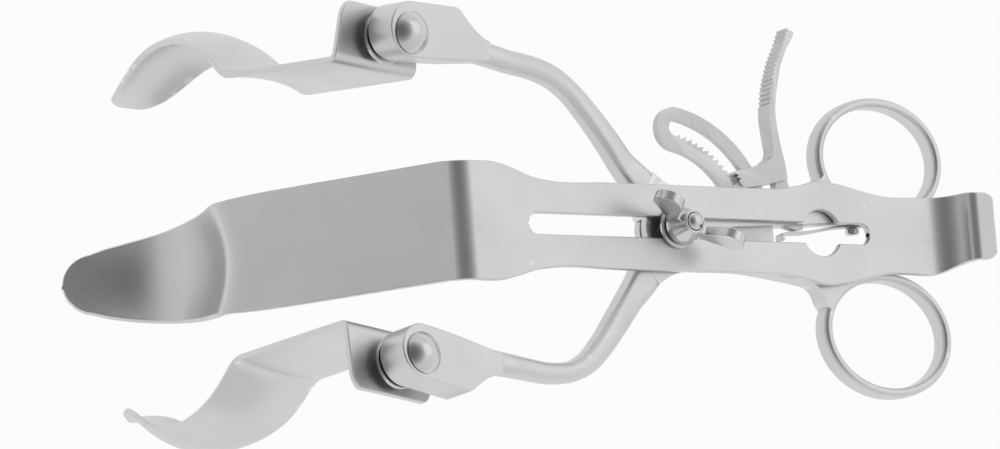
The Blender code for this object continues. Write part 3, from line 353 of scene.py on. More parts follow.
def sheetSides(points, edgeWay, thick, rim):
    # both faces of a sheet whose upper face is the grid: p + n (h - thick / 2) and p - n (h + thick / 2) with
    # h = thick / 2 (1 - (1 - d / rim)^3)^(1/3), so the edges close round where the distance d to them is 0
    along, across = np.gradient(points, axis=0), np.gradient(points, axis=1)
    normal = unit(np.cross(along, across) + 1e-12)
    narrow = np.linalg.norm(points[:, -1] - points[:, 0], axis=1) < 1.6
    if narrow[-1]:
        first = int(np.argmax(narrow))
        normal[first:] = normal[first - 1]
    d = np.clip(edgeWay / rim, 0.0, 1.0)[:, :, None]
    h = 0.5 * thick * np.cbrt(1.0 - (1.0 - d) ** 3)
    return points + normal * (h - 0.5 * thick), points - normal * (h + 0.5 * thick)


def makeSheet(name, grids, thick, rim, origin, axes, outwards):
    # upper and lower faces of each grid, turned to face outwards and welded along the edges
    points, faces, first = [], [], 0
    for grid, edgeWay in grids:
        normal = np.cross(grid[1:, :-1] - grid[:-1, :-1], grid[:-1, 1:] - grid[:-1, :-1]).sum(axis=(0, 1))
        if normal @ outwards < 0.0:
            grid, edgeWay = grid[:, ::-1], edgeWay[:, ::-1]
        upper, lower = sheetSides(grid, edgeWay, thick, rim)
        rows, cols = edgeWay.shape
        quads = gridFaces(rows, cols)
        points += [upper.reshape(-1, 3), lower.reshape(-1, 3)]
        faces += [quads[:, ::-1] + first, quads + first + rows * cols]
        first += 2 * rows * cols
    return newPiece(name, placed(np.vstack(points), origin, axes), np.vstack(faces), weld=3e-6)


centreBlade = {
    "thick": 1.6, "plateHalf": 8.9, "frontHalf": 12.1, "frontShift": 0.6, "shoulderBack": -30.0,
    "shoulderFront": -41.8, "bendStart": -48.0, "bendRadius": 5.0, "bendAngle": 59.0, "bladeLong": 53.9,
    "lipLong": 36.3, "lipRise": 10.4, "lipDish": 1.3, "creaseBow": 2.8, "creaseSoft": 1.5, "creaseReach": 8.0,
    "swellX": 36.0, "swellHalf": 10.9, "tailHalf": 8.2, "tailStart": 62.5, "tailRadius": 7.0, "tailAngle": 74.0,
    "curlRadius": 2.4, "curlAngle": 66.0, "tailLip": 3.6, "tailShift": 1.3, "slotHalf": 2.12, "slotFront": -35.3,
    "slotBack": 47.9, "keyhole": 4.8, "rim": 0.32,
}


def slotEdge(x, b):
    # half width of the slot: a straight run with round ends, and the keyhole's circle where that is wider
    front = np.maximum(0.0, b["slotFront"] + b["slotHalf"] - x)
    back = np.maximum(0.0, x - b["slotBack"] + b["slotHalf"])
    run = np.sqrt(np.maximum(0.0, b["slotHalf"] ** 2 - np.maximum(front, back) ** 2))
    hole = np.sqrt(np.maximum(0.0, b["keyhole"] ** 2 - (x - b["swellX"]) ** 2))
    return np.maximum(run, hole)


def softened(rows, place, reach, blur):
    # rows within reach of a crease, blurred along the run with a bell curve: the sum of
    # row(s - q) exp(-q^2 / 2 blur^2)
    run = runAlong(rows[:, :2])
    middle = run[np.argmin(np.linalg.norm(rows[:, :2] - np.array(place), axis=1))]
    fine = np.arange(middle - reach - 4.0 * blur, middle + reach + 4.0 * blur, 0.1)
    dense = np.stack([np.interp(fine, run, column) for column in rows.T], axis=1)
    q = np.arange(-3.0 * blur, 3.0 * blur + 0.05, 0.1)
    bell = np.exp(-q ** 2 / (2.0 * blur ** 2))
    bell /= bell.sum()
    smooth = np.stack([np.convolve(column, bell, mode="same") for column in dense.T], axis=1)
    at = np.arange(middle - reach, middle + reach, 0.4)
    fresh = np.stack([np.interp(at, fine, column) for column in smooth.T], axis=1)
    return np.vstack([rows[run < at[0] - 0.05], fresh, rows[run > at[-1] + 0.05]])


def bladeStations(b):
    # columns x, z, half width, dish, bow, shift along the middle of the upper face, from tail to tip
    ta, tb = np.radians(b["tailAngle"]), np.radians(b["tailAngle"] - b["curlAngle"])
    topX = b["tailStart"] + b["tailRadius"] * np.sin(ta)
    topZ = b["tailRadius"] * (1.0 - np.cos(ta))
    curlX, curlZ = topX + b["curlRadius"] * np.sin(ta), topZ - b["curlRadius"] * np.cos(ta)
    t = np.concatenate([rimSteps(b["rim"]) / b["tailLip"], np.linspace(0.12, 1.0, 14)])[:-1]
    reach = b["tailLip"] * (1.0 - t)
    zero = 0.0 * t
    lip = np.stack([curlX - b["curlRadius"] * np.sin(tb) + reach * np.cos(tb),
                    curlZ + b["curlRadius"] * np.cos(tb) + reach * np.sin(tb),
                    b["tailHalf"] * (0.62 + 0.24 * np.sqrt(1.0 - (1.0 - np.minimum(1.0, t * 1.5)) ** 2)),
                    zero, zero, zero + b["tailShift"]], axis=1)
    t = np.linspace(0.0, 1.0, 20)[:-1]
    heading = tb + (ta - tb) * t
    zero = 0.0 * t
    curl = np.stack([curlX - b["curlRadius"] * np.sin(heading), curlZ + b["curlRadius"] * np.cos(heading),
                     b["tailHalf"] * (0.86 + 0.02 * t), zero, zero, zero + b["tailShift"]], axis=1)
    t = np.linspace(0.0, 1.0, 40)
    heading = ta * (1.0 - t)
    zero = 0.0 * t
    tail = np.stack([b["tailStart"] + b["tailRadius"] * np.sin(heading), b["tailRadius"] * (1.0 - np.cos(heading)),
                     b["tailHalf"] * (0.88 + 0.12 * eased(t)), zero, zero, b["tailShift"] * (1.0 - eased(t))], axis=1)
    ends = np.radians(np.linspace(0.0, 90.0, 13))
    x = np.concatenate([np.arange(b["tailStart"] - 0.8, b["bendStart"], -0.8), [b["bendStart"]],
                        b["slotBack"] - b["slotHalf"] * (1.0 - np.sin(ends)),
                        b["slotFront"] + b["slotHalf"] * (1.0 - np.sin(ends)),
                        b["swellX"] + b["keyhole"] * np.cos(np.radians(np.linspace(0.0, 180.0, 41)))])
    meet = np.sqrt(b["keyhole"] ** 2 - b["slotHalf"] ** 2)
    x = np.concatenate([x, [b["swellX"] - meet, b["swellX"] + meet]])
    x = np.unique(np.round(x, 3))[::-1]
    x = x[np.concatenate([[True], -np.diff(x) > 0.02])]
    h, f, sw = b["plateHalf"], b["frontHalf"], b["swellX"]
    edge = [(b["bendStart"] - 1.0, f), (b["shoulderFront"], f * 0.985), (b["shoulderFront"] + 3.4, f - 1.1),
            (b["shoulderBack"] - 3.8, h + 0.6), (b["shoulderBack"], h), (-15.0, h), (5.0, h), (20.0, h),
            (sw - 10.0, h + 0.1), (sw - 4.5, b["swellHalf"] - 1.0), (sw, b["swellHalf"]),
            (sw + 5.5, b["swellHalf"] - 0.6), (sw + 10.4, b["swellHalf"] - 1.7), (sw + 16.0, b["tailHalf"]),
            (b["tailStart"], b["tailHalf"])]
    zero = 0.0 * x
    shift = 0.5 * b["frontShift"] * eased((b["shoulderBack"] - x) / (b["shoulderBack"] - b["shoulderFront"]))
    plate = np.stack([x, zero, through(edge, x), zero, zero, shift], axis=1)
    c = np.radians(b["bendAngle"])
    t = np.linspace(0.0, 1.0, 28)[1:]
    zero = 0.0 * t
    bend = np.stack([b["bendStart"] - b["bendRadius"] * np.sin(c * t), -b["bendRadius"] * (1.0 - np.cos(c * t)),
                     zero + f, zero, zero, b["frontShift"] * (0.5 + 0.25 * t)], axis=1)
    bendX, bendZ = bend[-1, 0], bend[-1, 1]
    t = 1.0 - (1.0 - np.linspace(0.0, 1.0, 60)[1:-1]) ** 1.3
    s = b["bladeLong"] * t
    body = [(0.0, 1.0), (0.33, 0.995), (0.66, 0.992), (0.85, 0.979), (0.93, 0.960), (1.0, 0.932)]
    straight = np.stack([bendX - np.cos(c) * s, bendZ - np.sin(c) * s, f * through(body, t), 0.0 * t,
                         b["creaseBow"] * eased((t - 0.3) / 0.7), 0.0 * t + b["frontShift"]], axis=1)
    rise = [(0.0, 0.0), (0.1, 0.349), (0.2, 0.632), (0.3, 0.832), (0.4, 0.962), (0.5, 1.0), (0.6, 0.945),
            (0.7, 0.815), (0.8, 0.628), (0.9, 0.421), (1.0, 0.202)]
    half = [(0.0, 0.931), (0.12, 0.886), (0.25, 0.850), (0.40, 0.795), (0.55, 0.720), (0.70, 0.635), (0.82, 0.545),
            (0.91, 0.430), (0.97, 0.275), (1.0, 0.0)]
    hollow = [(0.0, 0.0), (0.15, 0.50), (0.35, 0.85), (0.50, 0.97), (0.62, 1.05), (0.72, 0.92), (0.85, 0.52),
              (0.94, 0.22), (1.0, 0.0)]
    t = 1.0 - (1.0 - np.linspace(0.0, 1.0, 100)) ** 2.2
    ending = np.clip((t - 0.86) / 0.14, 0.0, 1.0)
    wide = np.where(t < 0.86, through(half, t), 0.5 * np.sqrt(1.0 - ending ** 1.8))
    s = b["bladeLong"] + b["lipLong"] * t
    out = b["lipRise"] * through(rise, t)
    lipFront = np.stack([bendX - np.cos(c) * s + np.sin(c) * out, bendZ - np.sin(c) * s - np.cos(c) * out,
                         f * wide, b["lipDish"] * through(hollow, t),
                         b["creaseBow"] * (1.0 - eased(t / 0.6)), 0.0 * t + b["frontShift"]], axis=1)
    lipFront[-1, 2] = 0.02
    crease = (bendX - np.cos(c) * b["bladeLong"], bendZ - np.sin(c) * b["bladeLong"])
    rows = np.vstack([lip, curl, tail, plate, bend, straight, lipFront])
    return softened(rows, crease, b["creaseReach"], b["creaseSoft"])


def makeCentreBlade(b):
    # point = path + y across + dish square to the path and crease bow along the blade, both x (1 - v^2);
    # each half of the sheet runs from the slot's edge, or from the middle, to the outer edge
    rows = bladeStations(b)
    flat = (np.abs(rows[:, 1]) < 1e-9) & (rows[:, 0] < b["tailStart"])
    hole = np.where(flat, slotEdge(rows[:, 0], b), 0.0)
    run = runAlong(rows[:, :2])[:, None]
    tangent = unit(np.gradient(rows[:, :2], axis=0))
    c = np.radians(b["bendAngle"])
    grids = []
    for side in (1.0, -1.0):
        outer = rows[:, 2] + side * rows[:, 5]
        across, way = acrossSteps(hole, outer, b["rim"])
        way = np.where(hole[:, None] > 0.0, way, outer[:, None] - across)
        y = side * across
        arch = 1.0 - np.clip((y - rows[:, 5:6]) / np.maximum(rows[:, 2:3], 0.01), -1.0, 1.0) ** 2
        dish, bow = rows[:, 3:4] * arch, rows[:, 4:5] * arch
        x = rows[:, 0:1] - tangent[:, 1:2] * dish + np.cos(c) * bow
        z = rows[:, 1:2] + tangent[:, 0:1] * dish + np.sin(c) * bow
        grids.append((np.stack([x, y, z], axis=-1), np.minimum(way, run)))
    ob = makeSheet("centreBladeSheet", grids, b["thick"], b["rim"], pivot, plateAxes, np.array([-0.4, 0.0, 1.0]))
    return dress(ob, "satinPlate", "blade", ["centre_blade"], 60.0)


makeCentreBlade(centreBlade)
print("centre blade made")


arm = {
    "drop": 1.9, "thick": 4.6, "edge": 0.45, "boss": 6.0, "gap": 0.3, "rodHeight": 4.3, "rise": 10.6,
    "riseStart": -8.5, "ringX": 52.9, "ringY": 18.3, "ringLong": 14.9, "ringShort": 12.15, "ringTurn": 3.0,
    "ringBelly": 2.1, "web": 4.0,
}
shankOuter = [(-3.6, 11.6), (-1.3, 10.0), (2.0, 8.6), (6.2, 7.5), (13.6, 7.1), (21.9, 7.4), (26.8, 7.9), (31.8, 8.4)]
shankInner = [(6.1, 0.9), (15.6, 1.7), (24.0, 2.5), (31.8, 3.3), (44.4, 4.5), (50.5, 5.0)]
rodLines = {
    1: [(-4.0, 7.3, 7.8), (-5.8, 9.3, 6.6), (-7.7, 11.3, 5.8), (-9.8, 13.4, 5.2), (-14.1, 18.1, 5.0),
        (-18.9, 22.8, 4.8), (-23.8, 26.8, 4.5), (-28.0, 29.0, 4.6), (-33.0, 30.2, 4.6), (-40.0, 30.8, 4.6),
        (-47.0, 31.8, 4.7), (-55.5, 32.4, 5.0)],
    -1: [(-4.0, 7.3, 7.8), (-5.6, 9.5, 6.8), (-7.3, 12.0, 6.1), (-9.4, 14.8, 5.5), (-13.4, 19.8, 5.3),
         (-17.8, 25.0, 5.0), (-22.2, 29.0, 4.6), (-26.4, 31.0, 4.3), (-31.2, 31.8, 4.3), (-40.0, 31.5, 4.5),
         (-48.0, 30.9, 5.0), (-56.0, 30.5, 5.6)],
}
heads = {
    1: {"x": -66.6, "y": 33.0, "turn": 1.0, "offset": 0.8},
    -1: {"x": -67.1, "y": 31.2, "turn": 8.4, "offset": -0.5},
}
headShape = {"thick": 7.1, "front": 5.6, "shift": 0.3, "long": 12.8, "blend": 8.5, "edge": 0.5, "lean": 5.0}
bodyOf = {1: "upper", -1: "lower"}
armNode = {1: "upper_arm", -1: "lower_arm"}
armTop = -arm["drop"]
armMiddle = armTop - 0.5 * arm["thick"]
armBottom = armTop - arm["thick"]


def armPlane(x):
    # height of the arm's upper face: level behind, rising in front of the joint
    ahead = np.maximum(0.0, arm["riseStart"] - np.asarray(x, dtype=float))
    soft = np.minimum(1.0, ahead / 3.0)
    return armTop + np.tan(np.radians(arm["rise"])) * ahead * (0.5 * soft + 0.5)


def headAxes(side):
    # place and axes of a head: risen with the arm, leant outwards, turned
    h = heads[side]
    local = turnAbout("Y", arm["rise"]) @ turnAbout("X", headShape["lean"] * side) @ turnAbout("Z", h["turn"] * side)
    origin = placed(np.array([h["x"], h["y"] * side, float(armPlane(h["x"]))]), pivot, rigAxes)
    return origin, rigAxes @ local


def sideOf(points, side):
    # a flat outline on the upper (1) or the lower (-1) side
    return np.column_stack([points[:, 0], points[:, 1] * side])


def ringLine(count):
    # ellipse turned by ringTurn: (long cos a, short sin a)
    a = np.linspace(0.0, 2.0 * np.pi, count, endpoint=False)
    flat = np.stack([arm["ringLong"] * np.cos(a), arm["ringShort"] * np.sin(a)], axis=1)
    return flat @ turnAbout("Z", arm["ringTurn"])[:2, :2].T + np.array([arm["ringX"], arm["ringY"]])


def shankOutline():
    # concave lap round the joint, elbow, outer edge, web beside the ring, ring's middle line, inner edge
    x0, y0 = shankInner[0]
    last = np.degrees(np.arctan2(y0, x0))
    lap = arc(0.0, 0.0, arm["boss"] + arm["gap"], last, 162.0, 40)
    elbow = np.array([(-6.6, 4.0), (-7.4, 5.6)])
    xs = np.linspace(-3.6, 31.0, 60)
    outer = np.stack([xs, through(shankOuter, xs)], axis=1)
    ring = ringLine(192)
    leftX = ring[100, 0]
    web = arm["web"]
    fillet = arc(leftX - 0.5 * arm["ringBelly"] - web, outer[-1, 1] + web + 0.4, web, -80.0, -8.0, 16)
    xs = np.linspace(6.1, 50.5, 60)[::-1]
    inner = np.stack([xs, through(shankInner, xs)], axis=1)
    return np.vstack([lap, elbow, outer, fillet, ring[104:141], inner])


def discOutline():
    # joint disc: its own radius on the free side, a little more where it runs into the shank
    x0, y0 = shankInner[0]
    last = np.degrees(np.arctan2(y0, x0))
    return np.vstack([arc(0.0, 0.0, arm["boss"], last, -198.0, 60), arc(0.0, 0.0, arm["boss"] + 0.5, 162.0, last, 40)])


def makeRing(side):
    # flat-faced wire section, (belly cos^0.8, half sin^0.5), carried round the ring's middle line
    line = sideOf(ringLine(160), side)
    along = unit(np.roll(line, -1, axis=0) - np.roll(line, 1, axis=0))
    across = np.stack([along[:, 1], -along[:, 0]], axis=1)
    a = np.linspace(0.0, 2.0 * np.pi, 32, endpoint=False)
    wide = 0.5 * arm["ringBelly"] * powered(np.cos(a), 0.8)
    high = (0.5 * arm["thick"] - 0.05) * powered(np.sin(a), 0.5)
    xy = line[:, None, :] + across[:, None, :] * wide[None, :, None]
    z = np.broadcast_to(armMiddle + high, xy.shape[:2])
    points = np.concatenate([xy, z[:, :, None]], axis=-1).reshape(-1, 3)
    return newPiece(bodyOf[side] + "FingerRing", placed(points, pivot, rigAxes), gridFaces(160, 32, True, True))


def makeRod(side):
    # superellipse section (w/2 cos^p, h/2 sin^p) carried along the rod's line, squarer near the joint
    marks = np.array(rodLines[side])
    run = runAlong(marks[:, :2])
    at = np.linspace(0.0, run[-1], 150)
    x, y, w = (through(np.stack([run, marks[:, k]], axis=1), at) for k in range(3))
    station = np.interp(at, run, np.arange(len(marks)))
    share = eased((station - 1.0) / 5.0)
    h = arm["thick"] + (arm["rodHeight"] - arm["thick"]) * share - 0.08 * (1.0 - share)
    p = (0.42 + 0.34 * share)[:, None]
    rise = np.radians(arm["rise"]) * eased((arm["riseStart"] + 2.0 - x) / 4.0)
    line = np.stack([x, y * side, 0.0 * x], axis=1)
    along = unit(np.gradient(line, axis=0))
    up = np.stack([np.sin(rise), 0.0 * rise, np.cos(rise)], axis=1)
    across = unit(np.cross(up, along))
    sunk = 0.04 * (1.0 - share) + 0.35 * eased((-x - 42.5) / 5.0)  # the rod's end hides inside the head
    middle = np.stack([x, y * side, armPlane(x) - sunk], axis=1) - up * (0.5 * h)[:, None]
    a = np.linspace(0.0, 2.0 * np.pi, 40, endpoint=False)[None, :]
    wide = 0.5 * w[:, None] * powered(np.cos(a), p)
    high = 0.5 * h[:, None] * powered(np.sin(a), p)
    points = middle[:, None, :] + across[:, None, :] * wide[:, :, None] + up[:, None, :] * high[:, :, None]
    faces = [list(f) for f in gridFaces(150, 40, wrapCols=True)]
    faces += [list(range(40)), list(range(149 * 40, 150 * 40))]
    return newPiece(bodyOf[side] + "Rod", placed(points.reshape(-1, 3), pivot, rigAxes), faces)


def makeHead(side):
    # round front, square shoulder, hollow blend; the underside slopes up to the rod behind the shoulder
    s = headShape
    offset = heads[side]["offset"]
    outer, inner, back = offset + s["front"], offset - s["front"], s["long"] + s["blend"]
    t = np.linspace(1.0, 0.06, 24)
    hollow = np.stack([s["long"] + s["blend"] * t, outer - 6.0 * (1.0 - (1.0 - t) ** 1.5)], axis=1)
    xs = np.linspace(s["shift"] + 1.5, s["long"], 8)
    innerEdge = np.stack([xs, inner + 0.5 * (xs / s["long"]) ** 2], axis=1)
    outline = np.vstack([arc(s["shift"], offset, s["front"], 90.0, 270.0, 48), innerEdge,
                         [(back, inner + 1.2)], hollow, [(s["long"] - 0.6, outer)]])
    origin, axes = headAxes(side)

    def under(x):
        return -s["thick"] + (s["thick"] - arm["rodHeight"] - 0.2) * np.clip((x - s["long"]) / s["blend"], 0.0, 1.0)

    ob = slab(bodyOf[side] + "Head", sideOf(outline, side), 0.0, 0.0, origin, axes, under)
    softEdges(ob, s["edge"], 3, 50.0)
    return ob


for side in (1, -1):
    body, node = bodyOf[side], armNode[side]
    shank = slab(body + "Shank", sideOf(shankOutline(), side), armBottom, armTop, pivot, rigAxes)
    softEdges(shank, arm["edge"])
    low, high = (armMiddle + 0.15, armTop) if side > 0 else (armBottom, armMiddle - 0.15)
    disc = slab(body + "JointDisc", sideOf(discOutline(), side), low, high, pivot, rigAxes)
    softEdges(disc, 0.25)
    for ob in (shank, disc, makeRing(side), makeRod(side), makeHead(side)):
        dress(ob, "satinForged", body, [node])
print("arms made")


sideBlade = {
    "sheet": 1.25, "front": 11.0, "back": 10.5, "slant": 1.3, "out": 6.3, "bend": 2.1, "body": 30.0, "lip": 47.8,
    "rise": 9.2, "dish": 2.8, "washer": 0.8, "rim": 0.28,
    "turn": {1: -3.8, -1: -3.2}, "inward": {1: 4.5, -1: 5.6}, "closes": {1: 0.0, -1: 1.7},
}


def makeSideBlade(side, b):
    # path in the blade's own YZ plane, flange, bend, body and arched lip, with a front and a back edge at each
    # station; the dish pushes the middle outwards by dish (1 - v^2)
    top = -headShape["thick"] - b["washer"] - 2.0 * arm["gap"]
    low = top - b["sheet"]
    inward = b["inward"][side]
    t = np.concatenate([rimSteps(b["rim"]) / (b["out"] + inward), np.linspace(0.04, 1.0, 26)])
    y = b["out"] - (b["out"] + inward) * t
    near = np.clip((b["out"] - y) / 3.5, 0.0, 1.0)
    cut = 2.2 * (1.0 - np.sqrt(1.0 - (1.0 - near) ** 2 * 0.999))
    flange = np.stack([y, 0.0 * y + low, b["front"] - b["slant"] * (1.0 - t) - cut, b["back"] - cut, 0.0 * y], axis=1)
    t = np.linspace(0.0, 1.0, 22)[1:]
    bend = np.stack([-inward - b["bend"] * np.sin(0.5 * np.pi * t), low - b["bend"] * (1.0 - np.cos(0.5 * np.pi * t)),
                     0.0 * t + b["front"], 0.0 * t + b["back"], 0.0 * t], axis=1)
    bodyY, bodyZ = bend[-1, 0], bend[-1, 1]
    t = np.linspace(0.0, 1.0, 34)[1:-1]
    body = np.stack([0.0 * t + bodyY, bodyZ - b["body"] * t, 0.0 * t + b["front"], 0.0 * t + b["back"],
                     0.45 * b["dish"] * eased((t - 0.6) / 0.4)], axis=1)
    rise = [(0.0, 0.0), (0.04, 0.033), (0.08, 0.14), (0.12, 0.314), (0.17, 0.525), (0.23, 0.721), (0.30, 0.867),
            (0.37, 0.962), (0.44, 1.005), (0.51, 0.991), (0.58, 0.920), (0.65, 0.776), (0.72, 0.562), (0.79, 0.327),
            (0.86, 0.135), (0.93, 0.038), (1.0, 0.067)]
    taper = [(0.0, 1.0), (0.12, 0.975), (0.30, 0.925), (0.44, 0.865), (0.58, 0.793), (0.72, 0.697), (0.86, 0.508),
             (0.94, 0.323), (1.0, 0.0)]
    hollow = [(0.0, 0.45), (0.15, 0.85), (0.35, 1.0), (0.60, 0.906), (0.85, 0.594), (1.0, 0.0)]
    t = 1.0 - (1.0 - np.linspace(0.0, 1.0, 100)) ** 1.5
    wide = np.maximum(0.002, through(taper, t))
    lip = np.stack([bodyY + b["rise"] * through(rise, t), bodyZ - b["body"] - b["lip"] * t, b["front"] * wide,
                    b["back"] * wide, b["dish"] * through(hollow, t)], axis=1)
    rows = np.vstack([flange, bend, body, lip])
    rows[:, 0] -= np.tan(np.radians(b["closes"][side])) * np.maximum(0.0, bodyZ - rows[:, 1])
    tangent = unit(np.gradient(rows[:, :2], axis=0))
    run = runAlong(rows[:, :2])[:, None]
    x, way = acrossSteps(-rows[:, 2], rows[:, 3], b["rim"])
    v = (2.0 * x - rows[:, 3:4] + rows[:, 2:3]) / (rows[:, 3:4] + rows[:, 2:3])
    bulge = rows[:, 4:5] * (1.0 - v ** 2)
    grid = np.stack([x, (rows[:, 0:1] - tangent[:, 1:2] * bulge) * side, rows[:, 1:2] + tangent[:, 0:1] * bulge],
                    axis=-1)
    origin, axes = headAxes(side)
    axes = axes @ turnAbout("Z", b["turn"][side] * side)
    ob = makeSheet(bodyOf[side] + "SideBladeSheet", [(grid, np.minimum(way, run))], b["sheet"], b["rim"], origin, axes,
                   np.array([0.0, -float(side), 0.4]))
    return dress(ob, "satinBlade", bodyOf[side] + "_blade", [bodyOf[side] + "_side_blade"], 60.0)


for side in (1, -1):
    makeSideBlade(side, sideBlade)
print("side blades made")


fittings = {"rivet": 1.8, "dome": 4.25, "domeHigh": 2.0, "stud": 1.8, "studTop": 8.0, "studHead": 4.2,
            "studHeadThick": 1.5, "clamp": 1.0, "hubFoot": 3.75, "hubTop": 2.45, "hubHigh": 5.4,
            "wingReach": 11.0, "wingHigh": 11.6, "wingThick": 2.1, "lobe": 3.1, "wingTurn": 155.0}


def makeDomes(f):
    # spherical cap on a short rim, and the shaft through head and blade
    for side in (1, -1):
        origin, axes = headAxes(side)
        ball = (f["dome"] ** 2 + f["domeHigh"] ** 2) / (2.0 * f["domeHigh"])
        r = f["dome"] * np.sin(np.radians(np.linspace(0.0, 90.0, 26)))
        cap = np.stack([r, arm["gap"] + f["domeHigh"] - ball + np.sqrt(ball ** 2 - r ** 2)], axis=1)
        low = -headShape["thick"] - sideBlade["washer"] - sideBlade["sheet"] - 1.5 - 5.0 * arm["gap"]
        foot = np.array([(f["dome"] - 0.1, 0.12), (f["dome"] - 0.35, -0.02), (f["rivet"], -0.02), (f["rivet"], low),
                         (0.0, low)])
        ob = lathe(bodyOf[side] + "RivetDome", np.vstack([cap, foot]), origin, axes)
        dress(ob, "brightFitting", bodyOf[side], [bodyOf[side] + "_blade_rivet"])


def makeStud(f):
    # domed end, shaft and flat head with a broken edge
    a = np.radians(np.linspace(0.0, 90.0, 14))
    cap = np.stack([f["stud"] * np.sin(a), f["studTop"] - 1.0 * (1.0 - np.cos(a))], axis=1)
    low = armBottom - arm["gap"]
    foot = np.array([(f["stud"], low), (f["studHead"] - 0.2, low), (f["studHead"], low - 0.2),
                     (f["studHead"], low - 0.6 * f["studHeadThick"]), (f["studHead"] - 0.6, low - f["studHeadThick"]),
                     (0.0, low - f["studHeadThick"])])
    ob = lathe("pivotStudTurned", np.vstack([cap, foot]), pivot, rigAxes)
    dress(ob, "brightFitting", "carriage", ["pivot_stud"])


def makeWingNut(f):
    # hub: a cone with rounded ends; wings: upswept outlines with fully rounded faces
    foot = 2.0 * arm["gap"] + f["clamp"]
    top = foot + f["hubHigh"]
    a = np.radians(np.linspace(0.0, 90.0, 8))
    crown = np.stack([f["hubTop"] - 0.45 + 0.45 * np.sin(a), top - 0.45 + 0.45 * np.cos(a)], axis=1)
    skirt = np.stack([f["hubFoot"] - 0.4 + 0.4 * np.cos(a), foot + 0.4 - 0.4 * np.sin(a)], axis=1)
    bore = f["stud"] + 0.15
    profile = np.vstack([[(bore, foot), (bore, top - 0.3), (bore + 0.2, top)], crown,
                         [(f["hubTop"] + 0.25, top - 1.6), (f["hubFoot"] - 0.3, foot + 1.9),
                          (f["hubFoot"], foot + 1.2)], skirt, [(bore, foot)]])
    dress(lathe("wingNutHub", profile, pivot, rigAxes), "brightFitting", "nut", ["wing_nut"])
    cx, cy = f["wingReach"] - f["lobe"], f["wingHigh"] - f["lobe"]
    outline = np.vstack([[(1.6, foot + 1.0), (3.4, foot + 1.2), (6.0, foot + 2.7), (f["wingReach"] - 2.2, cy - 2.6)],
                         arc(cx, cy, f["lobe"], -40.0, 135.0, 40),
                         [(cx - 3.2, cy + 0.6), (3.6, top - 1.0), (1.6, top - 1.2)]])
    for k in (0, 1):
        axes = rigAxes @ turnAbout("Z", f["wingTurn"] + 180.0 * k) @ turnAbout("X", 90.0)
        ob = slab("wingNutWing%d" % (k + 1), outline, -0.5 * f["wingThick"], 0.5 * f["wingThick"], pivot, axes)
        softEdges(ob, 0.85, 6, 25.0)
        dress(ob, "brightFitting", "nut", ["wing_nut"])


makeDomes(fittings)
makeStud(fittings)
makeWingNut(fittings)
print("fittings made")


# nodes whose shape is right: steel and width of the rounded edges
kept = {
    "ratchet_bar": ("groundRatchet", 0.18), "ratchet_lever": ("groundRatchet", 0.15),
    "leaf_spring": ("springSteel", 0.08),
    "bar_rivet_1": ("brightFitting", 0.0), "bar_rivet_2": ("brightFitting", 0.0), "lever_pin": ("brightFitting", 0.0),
    "spring_screw": ("brightFitting", 0.1), "clamp_washer": ("brightFitting", 0.1),
    "upper_blade_washer": ("brightFitting", 0.1), "lower_blade_washer": ("brightFitting", 0.1),
    "upper_blade_nut": ("brightFitting", 0.1), "lower_blade_nut": ("brightFitting", 0.1),
}
for name, (steel, edge) in kept.items():
    ob = frame["nodes"][name]
    ob.data.materials.clear()
    ob.data.materials.append(steels[steel])
    weld = ob.modifiers.new("weld", "WELD")
    weld.merge_threshold = 1e-6
    if edge:
        softEdges(ob, edge, 2, 50.0)
print("kept pieces dressed")


studio = {
    "floorTone": 0.92, "floorReach": 3.0, "glow": 0.94, "bright": (0.54, 0.17, 0.83), "dark": (-0.50, 0.10, 0.86),
    "keyPower": 0.4, "keySize": 0.8, "keyPlace": (0.85, 0.33, 0.52),
    "dome": [(0.0, 0.75), (0.3, 0.80), (0.6, 0.80), (0.85, 0.86), (1.0, 0.92)],
    "tent": [(0.0, 1.0), (0.78, 1.0), (0.90, 0.45), (0.965, 0.24), (1.0, 0.20)],
}


